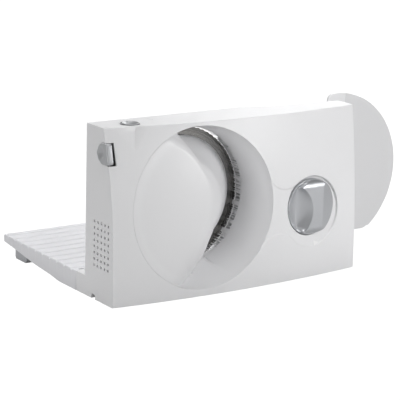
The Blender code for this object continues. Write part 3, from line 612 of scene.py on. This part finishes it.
# ---------------------------------------------------------------- exit bowl
def bowl_piece():
    curves, pts = [], []
    R0 = BOWL_R - 0.03
    for e in (0, 0.12, 0.3, 0.5, 0.7, 0.9, 1.15, 1.4, 1.7, 2.1, 2.7):
        curves.append((circle(BOWL_C, R0 - e, 300), True))

    def in_gap(x, z, m=0.0):
        """True in the opening between the dome's edge and the lip."""
        lip = LIP_R - math.hypot(x - LIP_C[0], z - LIP_C[1])
        return dome_depth(x, z) < -m and lip > m and z > FLOOR_Z + 0.3 + m

    for e in (0, 0.3, 0.8, 1.6, 3.0, 5.5):
        c = []
        for k in range(361):
            a = 100.0 - 0.5 * k
            r = dome_edge(a) - e
            q = (DOME_C[0] + r * math.cos(math.radians(a)), DOME_C[1] + r * math.sin(math.radians(a)))
            if math.hypot(q[0] - BOWL_C[0], q[1] - BOWL_C[1]) < R0 - 2.7 and q[1] > 18:
                c.append(q)
        curves.append((c, False))
    for e in (0, 0.06, 0.16, 0.32, 0.55, 0.85, 1.2, 1.65, 2.2, 2.8, 3.5, 4.3):
        c = [p for p in arc(LIP_C, LIP_R + e, 100, -75, 360)
             if dome_depth(*p) < -0.02 and math.hypot(p[0] - BOWL_C[0], p[1] - BOWL_C[1]) < R0 - 2.7 and p[1] > FLOOR_Z]
        curves.append((c, False))
    curves.append(([(-36.0 + i, FLOOR_Z + 0.3) for i in range(30)], False))
    for p in hexgrid(BOWL_C[0] - R0, BOWL_C[0] + R0, BOWL_C[1] - R0, BOWL_C[1] + R0, 1.7):
        r = math.hypot(p[0] - BOWL_C[0], p[1] - BOWL_C[1])
        dd = abs(dome_depth(*p))
        dl = math.hypot(p[0] - LIP_C[0], p[1] - LIP_C[1]) - LIP_R
        if r < R0 - 3.0 and dd > 0.6 and not -0.6 < dl < 0.6 and not (dl < 4.9 and -3.0 < -dome_depth(*p) and dl > 0 and p[0] > LIP_C[0]):
            pts.append(p)

    def keep(x, z):
        return math.hypot(x - BOWL_C[0], z - BOWL_C[1]) < R0 and not in_gap(x, z)

    def back(x, z):
        r = math.hypot(x - BOWL_C[0], z - BOWL_C[1])
        y = bowl_surface(x, z)
        g = 2.0 + 1.6 * smooth01((r - 80.0) / 8.0)
        el = math.hypot(x - LIP_C[0], z - LIP_C[1]) - LIP_R
        if dome_depth(x, z) < 0 and -0.5 < el < 4.0:
            return y + 0.9 + 1.6 * clamp(el / 4.0)
        if r > 92.4:
            return front_y(x, z) + 3.0 if y < front_y(x, z) + 2.4 else y + 0.8
        return max(y + g, y + 1.0)

    ob = height_shell("exit_bowl_shell", M_BOWL, pts, curves, keep, bowl_surface, back)
    return settle(ob, "exit_bowl")


bowl_piece()


# ------------------------------------------------------------- rear housing
def rear_piece():
    bm = bmesh.new()
    xs = sorted(set([round(-L / 2 + L * i / 60, 4) for i in range(61)] + [round(GROOVE_X - 22 + 1.0 * i, 4) for i in range(45)]))
    zs = sorted(set([round(Z0 + (H - Z0) * i / 40, 4) for i in range(41)]))
    a = [[bm.verts.new((x, front_base(x, z) + 0.92, z)) for z in zs] for x in xs]
    b = [[bm.verts.new((x, BACK_L, z)) for z in zs] for x in xs]
    for i in range(len(xs) - 1):
        for j in range(len(zs) - 1):
            bm.faces.new((a[i][j], a[i + 1][j], a[i + 1][j + 1], a[i][j + 1]))
            bm.faces.new((b[i][j], b[i][j + 1], b[i + 1][j + 1], b[i + 1][j]))
        bm.faces.new((a[i][0], b[i][0], b[i + 1][0], a[i + 1][0]))
        bm.faces.new((a[i][-1], a[i + 1][-1], b[i + 1][-1], b[i][-1]))
    for j in range(len(zs) - 1):
        bm.faces.new((a[0][j], a[0][j + 1], b[0][j + 1], b[0][j]))
        bm.faces.new((a[-1][j], b[-1][j], b[-1][j + 1], a[-1][j + 1]))
    ob = new_object("rear_housing_shell", bm, M_HOUSING)
    cut(ob, lambda b: add_prism(b, [(-L / 2 + WALL, -60), (L / 2 - WALL, -60), (L / 2 - WALL, BACK_R - WALL), (STEP_X - WALL, BACK_R - WALL),
                                    (STEP_X - WALL, BACK_L - WALL), (-L / 2 + WALL, BACK_L - WALL)], Z0 + WALL, H - WALL, "Z"))
    cut(ob, lambda b: add_box(b, STEP_X, L / 2 + 5, BACK_R, BACK_L + 5, TABLE_TOP, 195.0))
    # the top's back edge sweeps forward behind the fence
    sweep = [(24.0 + 2.2 * i, BACK_L + 0.7 - (BACK_L - BACK_R - 2.0) * smooth01(i / 34.0)) for i in range(35)]
    cut(ob, lambda b: add_prism(b, [(24.0, BACK_L + 6)] + sweep + [(L / 2 + 5, BACK_R), (L / 2 + 5, BACK_L + 6)], 180.0, H + 5, "Z"))
    cut(ob, lambda b: add_box(b, -L / 2, L / 2, BACK_L - 2.0, 80.7, Z0, TABLE_TOP), "UNION")
    cut(ob, lambda b: add_box(b, -L / 2 + WALL, L / 2 - WALL, BACK_L + 3.0, 77.7, -5, TABLE_TOP - WALL))
    cut(ob, lambda b: add_cyl(b, BLADE_C, HOLE_R, 40.6, BACK_L + 0.4, n=180))

    def small(b):
        for i in range(5):
            for j in range(8):
                add_cyl(b, (41.3 - 7.5 * i, 92.8 - 7.25 * j), 1.7, -L / 2 - 5, -L / 2 + WALL + 3, "X", n=20)
        add_prism(b, [(38.0, -5), (46.4, -5), (46.4, 5.4), (45.7, 6.7), (44.4, 7.2), (40.0, 7.2), (38.7, 6.7), (38.0, 5.4)], -L / 2 - 5, -L / 2 + 14, "X")
        add_cyl(b, BTN_C, BTN_R + 0.5, H - 8, H + 5, "Z", n=72)
        for fx, fy in ((-150, 14), (150, 14), (-150, 70), (150, 70)):
            add_cyl(b, (fx, fy), 2.3, -5, Z0 + 6 if fy < 50 else 10, "Z", n=24)

    cut(ob, small)
    cut(ob, lambda b: add_prism(b, INLAY_HOLE, H - 8, H + 5, "Z"))
    cut(ob, lambda b: add_prism(b, CATCH_HOLE, -L / 2 - 5, -L / 2 + WALL + 4, "X"))
    cut(ob, lambda b: [add_cyl(b, (sx, sz), 2.0, sy - 8, sy + 3, n=24) for sx, sz, sy in SCREWS])
    cut(ob, lambda b: [add_cyl(b, (sx, sz), 3.9, sy - 1.6, sy + 3, n=32) for sx, sz, sy in SCREWS])
    cut(ob, lambda b: [add_box(b, 99, 127, BACK_R - 9, BACK_R + 9, z - 7.4, z + 7.4) for z in (50.0, 127.0)])
    for sgn in (-1, 1):
        cx = sgn * (L / 2 - 9.0)
        cut(ob, lambda b: add_box(b, cx - 2.8, cx + 2.8, 79.0, TABLE_AXIS[0], TABLE_AXIS[1] - 1.8, TABLE_AXIS[1] + 1.8), "UNION")
        cut(ob, lambda b: add_cyl(b, TABLE_AXIS, 2.0, cx - 2.8, cx + 2.8, "X", n=32), "UNION")
        cut(ob, lambda b: add_cyl(b, TABLE_AXIS, 1.05, cx - 5, cx + 5, "X", n=24))
    return settle(ob, "rear_housing", bevel=0.45)


SCREWS = [(-160.0, 192.0, BACK_L), (-163.0, 28.0, BACK_L), (160.0, 187.0, BACK_R), (160.0, 34.0, BACK_R)]


def rounded(pts, r, n=6):
    """A polygon with its corners rounded to radius r."""
    out = []
    m = len(pts)
    for i in range(m):
        p0, p, p1 = Vector(pts[i - 1]), Vector(pts[i]), Vector(pts[(i + 1) % m])
        a, b = (p0 - p).normalized(), (p1 - p).normalized()
        ang = a.angle(b)
        t = min(r / math.tan(ang / 2), (p0 - p).length * 0.45, (p1 - p).length * 0.45)
        rr = t * math.tan(ang / 2)
        c = p + (a + b).normalized() * (rr / math.sin(ang / 2))
        s, e = p + a * t - c, p + b * t - c
        a0 = math.atan2(s.y, s.x)
        d = (math.atan2(e.y, e.x) - a0 + math.pi) % (2 * math.pi) - math.pi
        out += [(c.x + rr * math.cos(a0 + d * k / n), c.y + rr * math.sin(a0 + d * k / n)) for k in range(n + 1)]
    return out


INLAY = rounded([(-117.0, 40.4), (-101.2, 38.4), (-97.6, 41.8), (-97.4, 46.0), (-99.8, 51.7), (-105.2, 56.0), (-117.0, 56.0)], 2.2)
INLAY_HOLE = rounded([(-117.3, 40.1), (-101.1, 38.05), (-97.3, 41.6), (-97.1, 46.0), (-99.6, 51.9), (-105.2, 56.3), (-117.3, 56.3)], 2.4)
CATCH = rounded([(12.4, 161.1), (26.8, 161.1), (33.4, 164.6), (37.7, 172.8), (33.4, 181.2), (26.8, 185.1), (17.4, 185.1)], 3.0, 5)
CATCH_HOLE = rounded([(5.0, 160.6), (27.0, 160.6), (34.0, 164.2), (38.3, 172.8), (34.0, 181.6), (27.0, 185.6), (5.0, 185.6)], 3.0, 5)
rear_piece()

bm = bmesh.new()
add_prism(bm, INLAY, H - 2.8, H - 0.05, "Z")
settle(new_object("top_inlay_piece", bm, M_HOUSING), "top_inlay", bevel=0.3)


# ---------------------------------------------------- button and side catch
bm = bmesh.new()
add_lathe(bm, BTN_C, [(0, 191.5), (4.5, 191.5), (4.5, H - 7.6), (BTN_R - 0.1, H - 7.6), (BTN_R - 0.1, H + 0.5), (BTN_R - 0.35, H + 1.0), (BTN_R - 0.9, H + 1.3),
                      (BTN_R - 1.6, H + 1.4), (BTN_R - 2.4, H + 1.25), (BTN_R - 3.0, H + 0.8), (6.0, H - 0.1), (4.0, H - 0.55), (2.0, H - 0.8), (0, H - 0.85)], "Z", n=96)
settle(new_object("on_button_cap", bm, M_CAP), "on_button")


def catch_piece():
    def inside(u, v):
        n, c = len(CATCH), False
        for i in range(n):
            (x1, y1), (x2, y2) = CATCH[i], CATCH[(i + 1) % n]
            if (y1 > v) != (y2 > v) and u < (x2 - x1) * (v - y1) / (y2 - y1) + x1:
                c = not c
        return c

    def edge_dist(u, v):
        best = 1e9
        for i in range(len(CATCH)):
            a, b = Vector(CATCH[i]), Vector(CATCH[(i + 1) % len(CATCH)])
            ab = b - a
            t = clamp((Vector((u, v)) - a).dot(ab) / max(ab.length_squared, 1e-9))
            best = min(best, (a + ab * t - Vector((u, v))).length)
        return best

    c = (28.6, 173.0)

    def face(u, v):
        x = -L / 2 - 1.2
        d = math.hypot(u - c[0], v - c[1]) / 8.2
        if d < 1:
            x += 2.3 * (1 - d * d) ** 1.1
        e = edge_dist(u, v)
        if e < 1.0:
            x += 1.0 * (1 - math.sqrt(max(0.0, 1 - (1 - e) ** 2)))
        return x

    inner = [[(c[0] + (p[0] - c[0]) * k, c[1] + (p[1] - c[1]) * k) for p in CATCH] for k in (0.985, 0.965, 0.945, 0.92, 0.88)]
    curves = [(CATCH, True)] + [(q, True) for q in inner]
    pts = [p for p in hexgrid(12, 38, 160, 186, 0.8) if inside(*p) and edge_dist(*p) > 1.6]
    ob = height_shell("side_catch_cap", M_BUTTON, pts, curves, inside, face, lambda u, v: -L / 2 + 6.0, "X", 50)
    return settle(ob, "side_catch")


catch_piece()


# -------------------------------------------------------------------- knob
def soft_max(a, b, k):
    return -soft_min(-a, -b, k)


def knob_piece():
    K = KNOB_C
    arc_c, arc_r = (-35.3, -3.9), 34.0      # edge between the scoop and the grip bar
    edge = 14.7                             # edge between the bar and the right slope

    def rim(u):
        return -8.0 + 1.3 * clamp((u - 8.0) / 26.0)

    def face(x, z):
        u, v = x - K[0], z - K[1]
        r = math.hypot(u, v)
        e = KNOB_R - r
        y = -8.0 - 5.5 * (1 - clamp((abs(v) - 23.0) / 11.0) ** 2.2)
        # right: a flat slope down to the rim
        y = soft_max(y, -13.2 + (u - edge) * 0.325, 0.35)
        # left: a hollow scoop, deepest a third of the way in from the rim
        if u < 6.0:
            xa = arc_c[0] + math.sqrt(max(0.0, arc_r ** 2 - (v - arc_c[1]) ** 2)) if abs(v - arc_c[1]) < arc_r else arc_c[0]
            xl = -math.sqrt(max(1.0, KNOB_R ** 2 - v * v))
            xc = max(-20.5, xl + 4.0)
            deep = -8.0 + 3.6 * math.sqrt(clamp(1 - (v / 31.0) ** 2))
            if u < xc:
                ys = deep + (-8.0 - deep) * clamp((xc - u) / max(xc - xl, 0.5)) ** 1.6
            else:
                t = (u - xc) / max(xa - xc, 0.5)
                ys = deep - (deep + 13.5) * (0.35 * t + 0.65 * t * t) if t < 1.4 else -30.0
            y = soft_max(y, ys, 0.4)
        if e < 1.4:
            k = 1 - clamp(e / 1.4)
            y = max(y, y * (1 - k ** 2) + (rim(u) + 1.2) * k ** 2)
        return y

    curves = [(circle(K, KNOB_R - e, 220), True) for e in (0, 0.12, 0.3, 0.6, 1.0, 1.5, 2.1)]
    for dr in (-1.2, -0.6, -0.2, 0.2, 0.6, 1.2):
        c = [(K[0] + p[0], K[1] + p[1]) for p in arc(arc_c, arc_r + dr, -75, 75, 130) if math.hypot(p[0], p[1]) < KNOB_R - 2.3]
        curves.append((c, False))
    for ux in (edge - 1.5, edge - 1.0, edge - 0.5, edge, edge + 0.5, edge + 1.0):
        h = math.sqrt((KNOB_R - 2.4) ** 2 - ux * ux)
        curves.append(([(K[0] + ux, K[1] - h + 2 * h * i / 60) for i in range(61)], False))
    pts = [p for p in hexgrid(K[0] - 36, K[0] + 36, K[1] - 36, K[1] + 36, 0.8)
           if math.hypot(p[0] - K[0], p[1] - K[1]) < KNOB_R - 2.4
           and abs(math.hypot(p[0] - K[0] - arc_c[0], p[1] - K[1] - arc_c[1]) - arc_r) > 1.5
           and not (edge - 1.8 < p[0] - K[0] < edge + 1.3)]
    ob = height_shell("thickness_knob_cap", M_SILVER, pts, curves, lambda x, z: math.hypot(x - K[0], z - K[1]) < KNOB_R,
                      face, lambda x, z: -3.3, angle=60)
    return settle(ob, "thickness_knob")


knob_piece()

# white pointer in the recess, below the knob
bm = bmesh.new()
tri = rounded([(104.0, 39.6), (111.6, 42.4), (103.4, 46.0)], 0.4, 4)
a = [bm.verts.new((p[0], front_surface(p[0], p[1]) - 0.35, p[1])) for p in tri]
b = [bm.verts.new((p[0], front_surface(p[0], p[1]) + 0.6, p[1])) for p in tri]
bm.faces.new(a)
bm.faces.new(list(reversed(b)))
for i in range(len(tri)):
    bm.faces.new((a[i], b[i], b[(i + 1) % len(tri)], a[(i + 1) % len(tri)]))
mark = new_object("dial_pointer", bm, M_MARK)
settle(mark, "front_cover", others=None)


# ------------------------------------------------------------------- blade
def blade_piece():
    bm = bmesh.new()
    teeth, per = 72, 10
    n = teeth * per
    rows = []

    def ring(rf, y):
        out = []
        for k in range(n):
            a = 2 * math.pi * k / n
            w = 0.5 + 0.5 * math.cos(2 * math.pi * k / per)
            r = rf(w)
            out.append(bm.verts.new((BLADE_C[0] + r * math.cos(a), y(w) if callable(y) else y, BLADE_C[1] + r * math.sin(a))))
        rows.append(out)

    y0, y1 = BLADE_Y, BLADE_Y + BLADE_T
    ring(lambda w: 9.0, y0)
    ring(lambda w: 60.0, y0)
    ring(lambda w: 72.0, y0 + 0.02)
    ring(lambda w: 80.5, y0 + 0.02)
    ring(lambda w: BLADE_R - 0.05 - 0.65 * (1 - w), y0 + 0.03)
    ring(lambda w: BLADE_R - 0.65 * (1 - w), y0 + 0.2)
    ring(lambda w: BLADE_R - 0.4 - 0.75 * (1 - w), y0 + 0.5)
    ring(lambda w: 82.0 + 1.0 * w, lambda w: y1 - 0.12)
    ring(lambda w: 78.2 + 1.6 * w, y1)
    ring(lambda w: 60.0, y1)
    ring(lambda w: 9.0, y1)
    for i in range(len(rows)):
        a, b = rows[i], rows[(i + 1) % len(rows)]
        for k in range(n):
            j = (k + 1) % n
            bm.faces.new((a[k], b[k], b[j], a[j]))
    return settle(new_object("blade_disc", bm, M_BLADE, 25), "blade")


blade_piece()

bm = bmesh.new()
add_lathe(bm, BLADE_C, [(0, BLADE_Y + BLADE_T + GAP), (14, BLADE_Y + BLADE_T + GAP), (14, BLADE_Y + 3.4), (13.6, BLADE_Y + 4.2), (12.4, BLADE_Y + 5.0),
                        (11, BLADE_Y + 5.35), (0, BLADE_Y + 5.4)], n=96)
cap = new_object("blade_screw_cap", bm, M_GREY)
cut(cap, lambda b: add_box(b, BLADE_C[0] - 9, BLADE_C[0] + 9, BLADE_Y + 3.9, BLADE_Y + 8, BLADE_C[1] - 1.2, BLADE_C[1] + 1.2))
settle(cap, "blade_screw", bevel=0.25)


# ------------------------------------------------------------- fence group
def plate(name, pts, material, bevel=0.9):
    bm = bmesh.new()
    add_prism(bm, pts, FENCE_Y, FENCE_Y + FENCE_T)
    bmesh.ops.recalc_face_normals(bm, faces=bm.faces)
    return new_object(name, bm, material, 35)


def fence_piece():
    zt = WING_C[1] + math.sqrt(WING_R ** 2 - (WING_SEAM - GAP - WING_C[0]) ** 2)
    edge_r = BLADE_R + 0.5
    a_hi = math.degrees(math.acos((STEP_X + 0.4 - BLADE_C[0]) / edge_r))
    pts = [(WING_SEAM - GAP, FENCE_Z0), (WING_SEAM - GAP, zt)]
    pts += [(x, WING_C[1] + math.sqrt(WING_R ** 2 - (x - WING_C[0]) ** 2)) for x in (192.0, 188.0, 184.0, 181.0, 178.5)]
    pts += arc((176.4, 199.3), 7.9, 88, 178, 10) + [(168.4, 192.0), (STEP_X + 0.4, 192.0)]
    pts += arc(BLADE_C, edge_r, a_hi, -a_hi, 90) + [(STEP_X + 0.4, FENCE_Z0)]
    ob = plate("fence_plate_panel", pts, M_FENCE)
    for z0, z1 in ((60.0, 80.0), (160.0, 180.0)):
        cut(ob, lambda b: add_cyl(b, WING_AXIS, 3.4, z0, z1, "Z", n=40), "UNION")
        cut(ob, lambda b: add_box(b, WING_SEAM - 9, WING_AXIS[0], FENCE_Y + 1.0, WING_AXIS[1] - 0.6, z0, z1), "UNION")
    cut(ob, lambda b: add_cyl(b, WING_AXIS, 1.35, 20, 230, "Z", n=28))
    # shallow ribs on the food face keep slices of food from sticking
    cut(ob, lambda b: [add_box(b, 44, 190, FENCE_Y + FENCE_T - 0.1, FENCE_Y + FENCE_T + 0.5, z - 1.2, z + 1.2) for z in (48, 66, 84, 102, 120, 138)], "UNION")
    return settle(ob, "fence_plate", bevel=0.5, angle=60)


def wing_piece():
    a0 = math.degrees(math.asin((FENCE_Z0 - WING_C[1]) / WING_R))
    a1 = math.degrees(math.acos((WING_SEAM - WING_C[0]) / WING_R))
    pts = [(WING_SEAM, FENCE_Z0), (WING_C[0] + 50, FENCE_Z0), (WING_C[0] + 55.0, FENCE_Z0 + 0.6), (WING_C[0] + 58.3, FENCE_Z0 + 2.6)] + arc(WING_C, WING_R, a0 + 2.5, a1, 150)
    ob = plate("fence_wing_panel", pts, M_WING_PAINTED_SHADE)
    for z0, z1 in ((60.0, 80.0), (160.0, 180.0)):
        cut(ob, lambda b: add_cyl(b, WING_AXIS, 3.9, z0 - GAP, z1 + GAP, "Z", n=40))
        cut(ob, lambda b: add_box(b, WING_SEAM - 3, WING_AXIS[0] + GAP, FENCE_Y + 0.7, WING_AXIS[1] + 3, z0 - GAP, z1 + GAP))
    for z0, z1 in ((40.0, 60.0 - GAP), (80.0 + GAP, 160.0 - GAP), (180.0 + GAP, 200.0)):
        cut(ob, lambda b: add_cyl(b, WING_AXIS, 3.4, z0, z1, "Z", n=40), "UNION")
        cut(ob, lambda b: add_box(b, WING_AXIS[0] - 0.4, WING_AXIS[0] + 9, FENCE_Y + 1.0, WING_AXIS[1] - 0.6, z0, z1), "UNION")
    cut(ob, lambda b: add_cyl(b, WING_AXIS, 1.5, 20, 230, "Z", n=28))
    return settle(ob, "fence_wing", bevel=0.5, angle=60)


fence_piece()
wing_piece()


# ------------------------------------------------------------------- table
TABLE_BOTTOM = [(TABLE_Y0, 1.3), (116.0, 1.3), (122.0, 1.5), (128.0, 2.1), (134.0, 3.1), (139.0, 3.8), (144.0, 4.3), (160.0, 5.5), (181.0, 7.25), (198.0, 9.3),
                (214.0, 11.65), (236.0, 14.4), (TABLE_Y1, 17.05)]


def table_bottom(y):
    for (y0, z0), (y1, z1) in zip(TABLE_BOTTOM, TABLE_BOTTOM[1:]):
        if y <= y1:
            return z0 + (z1 - z0) * (y - y0) / (y1 - y0)
    return TABLE_BOTTOM[-1][1]


def table_piece():
    x0, x1 = -L / 2, L / 2

    def top(x, y):
        z = TABLE_TOP + 1.7 * (y - TABLE_Y0) / (TABLE_Y1 - TABLE_Y0)
        for k in range(10):
            c = TABLE_Y0 + 11.5 + 17.2 * k
            d = abs(y - c)
            if d < 3.0 and k < 10:
                z -= 2.2 * (0.5 + 0.5 * math.cos(math.pi * d / 3.0)) ** 0.8
        e = min(x - x0, x1 - x)
        if e < 1.4:
            z -= 1.2 * (1 - math.sqrt(max(0.0, 1 - (1 - e / 1.4) ** 2)))
        for e, r in ((y - TABLE_Y0, 0.7), (TABLE_Y1 - y, 2.2)):
            if e < r:
                z -= r * (1 - math.sqrt(max(0.0, 1 - (1 - max(e, 0) / r) ** 2)))
        return z

    ends = [0, 0.12, 0.35, 0.7, 1.1, 1.5, 4.0]
    xs = [x0 + e for e in ends] + [x0 + 12 + (L - 24) * i / 12 for i in range(13)] + [x1 - e for e in reversed(ends)]
    ys = sorted(set([TABLE_Y0, TABLE_Y0 + 0.15, TABLE_Y0 + 0.4, TABLE_Y0 + 0.7, TABLE_Y1 - 2.2, TABLE_Y1 - 1.5, TABLE_Y1 - 0.8, TABLE_Y1 - 0.3, TABLE_Y1]
                    + [round(TABLE_Y0 + 1.2 + 0.62 * i, 3) for i in range(int((TABLE_Y1 - TABLE_Y0 - 4) / 0.62))]))
    bm = bmesh.new()
    a = [[bm.verts.new((x, y, top(x, y))) for y in ys] for x in xs]
    b = [[bm.verts.new((x, y, table_bottom(y))) for y in ys] for x in xs]
    nx, ny = len(xs), len(ys)
    for i in range(nx - 1):
        for j in range(ny - 1):
            bm.faces.new((a[i][j], a[i + 1][j], a[i + 1][j + 1], a[i][j + 1]))
            bm.faces.new((b[i][j], b[i][j + 1], b[i + 1][j + 1], b[i + 1][j]))
        bm.faces.new((a[i][0], b[i][0], b[i + 1][0], a[i + 1][0]))
        bm.faces.new((a[i][-1], a[i + 1][-1], b[i + 1][-1], b[i][-1]))
    for j in range(ny - 1):
        bm.faces.new((a[0][j], a[0][j + 1], b[0][j + 1], b[0][j]))
        bm.faces.new((a[-1][j], b[-1][j], b[-1][j + 1], a[-1][j + 1]))
    ob = new_object("table_panel", bm, M_TABLE, 45)
    cut(ob, lambda b: add_prism(b, [(TABLE_Y0 + 3, -10), (TABLE_Y1 - 3, -10), (TABLE_Y1 - 3, TABLE_TOP - 2.73), (TABLE_Y0 + 3, TABLE_TOP - 4.4)], x0 + 3, x1 - 3, "X"))
    cut(ob, lambda b: add_box(b, x0 + 3, x1 - 3, TABLE_Y0 - 3, TABLE_Y0 + 5, -10, TABLE_TOP - 9))
    for sgn in (-1, 1):
        cx = sgn * (L / 2 - 9.0)
        cut(ob, lambda b: add_box(b, cx - 3.2, cx + 3.2, TABLE_Y0 - 2, TABLE_Y0 + 5.0, TABLE_TOP - 6.5, TABLE_TOP + 3))
        cut(ob, lambda b: add_cyl(b, TABLE_AXIS, 1.05, cx - 8.0, cx + 8.0, "X", n=24))
    return settle(ob, "table", bevel=0.3, angle=60)


table_piece()

# ------------------------------------------- CAD pieces that keep their shape
FINISH = {
    "table_leg_l": M_RUBBER, "table_leg_r": M_RUBBER,
    "foot_1": M_DARK, "foot_2": M_DARK, "foot_3": M_DARK, "foot_4": M_DARK,
    "blade_spindle": M_STEEL, "blade_gear": M_NATURAL, "idler_gear": M_NATURAL,
    "spindle_bush": M_BRASS, "drive_frame": M_GREY, "motor_can": M_PLATED, "motor_bearing_cap": M_GREY,
    "motor_shaft": M_PLATED, "cooling_fan": M_BLACK, "motor_cradle": M_GREY, "switch_block": M_BLACK,
    "dial_spindle": M_NATURAL, "fence_carrier": M_GREY, "wing_pin": M_PLATED,
    "table_pin_l": M_PLATED, "table_pin_r": M_PLATED,
    "housing_screw_1": M_PLATED, "housing_screw_2": M_PLATED, "housing_screw_3": M_PLATED, "housing_screw_4": M_PLATED,
}
for name, material in FINISH.items():
    ob = NODES[name]
    if ob.material_slots:
        ob.material_slots[0].material = material
    else:
        ob.data.materials.append(material)
    md = ob.modifiers.new("edge", "BEVEL")
    md.width = (0.6 if "leg" in name else 0.2) * MM
    md.segments = 2
    md.limit_method = "ANGLE"
    md.angle_limit = math.radians(40)
    md.use_clamp_overlap = True

# ------------------------------------------------------------------- studio
bm = bmesh.new()
bmesh.ops.create_grid(bm, x_segments=1, y_segments=1, size=6.0)
me = bpy.data.meshes.new("studio_floor")
bm.to_mesh(me)
bm.free()
floor = bpy.data.objects.new("studio_floor", me)
floor.location = (0, 0, -0.0005)
bpy.context.scene.collection.objects.link(floor)
m = bpy.data.materials.new("studio_white")
nt, lk, b = nodes_of(m)
b.inputs["Base Color"].default_value = (0.62, 0.62, 0.62, 1)
b.inputs["Roughness"].default_value = 1.0
b.inputs["Specular IOR Level"].default_value = 0.0
glow = nt.new("ShaderNodeEmission")
glow.inputs["Strength"].default_value = 1.1
eye = nt.new("ShaderNodeLightPath")
both = nt.new("ShaderNodeMixShader")
lk.new(eye.outputs["Is Camera Ray"], both.inputs["Fac"])
lk.new(b.outputs["BSDF"], both.inputs[1])
lk.new(glow.outputs["Emission"], both.inputs[2])
lk.new(both.outputs["Shader"], nt["Material Output"].inputs["Surface"])
me.materials.append(m)

world = bpy.data.worlds.new("studio")
bpy.context.scene.world = world
world.use_nodes = True
wn, wl = world.node_tree.nodes, world.node_tree.links
bg = wn["Background"]
bg.inputs["Color"].default_value = (1, 1, 1, 1)
bg.inputs["Strength"].default_value = 0.16
white = wn.new("ShaderNodeBackground")
white.inputs["Strength"].default_value = 1.15
path = wn.new("ShaderNodeLightPath")
mix = wn.new("ShaderNodeMixShader")
wl.new(path.outputs["Is Camera Ray"], mix.inputs["Fac"])
wl.new(bg.outputs["Background"], mix.inputs[1])
wl.new(white.outputs["Background"], mix.inputs[2])
wl.new(mix.outputs["Shader"], wn["World Output"].inputs["Surface"])


def softbox(name, where, aim, size, energy, spread=180):
    d = bpy.data.lights.new(name, "AREA")
    d.shape = "RECTANGLE"
    d.size, d.size_y = size
    d.energy = energy
    d.spread = math.radians(spread)
    o = bpy.data.objects.new(name, d)
    o.location = where
    o.rotation_mode = "QUATERNION"
    o.rotation_quaternion = (Vector(aim) - Vector(where)).to_track_quat("-Z", "Y")
    bpy.context.scene.collection.objects.link(o)
    return o


softbox("side_light", (-2.100, -0.847, 0.406), (-0.05, -0.1, 0.1), (0.9, 0.9), 12.0)
softbox("left_fill", (-1.129, -1.966, 0.557), (-0.05, -0.1, 0.1), (0.9, 0.9), 0.5)
softbox("key_light", (0.309, -0.729, 0.294), (-0.05, -0.1, 0.1), (0.3, 0.3), 2.2)
softbox("high_light", (-0.146, -1.169, 1.289), (0.13, -0.1, 0.13), (0.6, 0.6), 0.4, 70)
softbox("top_light", (0.710, 0.538, 0.936), (-0.05, -0.1, 0.1), (0.6, 0.6), 7.2)
softbox("back_light", (-0.412, 1.934, 0.852), (-0.05, -0.1, 0.1), (1.0, 1.0), 13.0)
softbox("over_light", (-0.053, 0.286, 1.549), (-0.05, -0.1, 0.1), (1.0, 1.0), 10.0)


# ------------------------------------------------------------------- camera
az, el, roll = math.radians(-34.6), math.radians(13.95), math.radians(1.67)
fwd = Vector((-math.sin(az) * math.cos(el), math.cos(az) * math.cos(el), -math.sin(el)))
right = Vector((math.cos(az), math.sin(az), 0.0))
up = right.cross(fwd)
r_ax = right * math.cos(roll) + up * math.sin(roll)
u_ax = up * math.cos(roll) - right * math.sin(roll)
target = Vector(((0 + SX) * MM, (84.58 + SY) * MM, 87.44 * MM))
cd = bpy.data.cameras.new("camera")
cd.sensor_fit = "HORIZONTAL"
cd.sensor_width = 36.0
cd.lens = 36.0 * 1669.4 / 400.0
cd.clip_start, cd.clip_end = 0.05, 50.0
cam = bpy.data.objects.new("camera", cd)
cam.matrix_world = Matrix((
    (r_ax.x, u_ax.x, -fwd.x, 0), (r_ax.y, u_ax.y, -fwd.y, 0), (r_ax.z, u_ax.z, -fwd.z, 0), (0, 0, 0, 1)))
cam.location = target - fwd * 2.0
bpy.context.scene.collection.objects.link(cam)
bpy.context.scene.camera = cam
bpy.context.scene.view_settings.view_transform = "Standard"

bpy.context.view_layer.update()
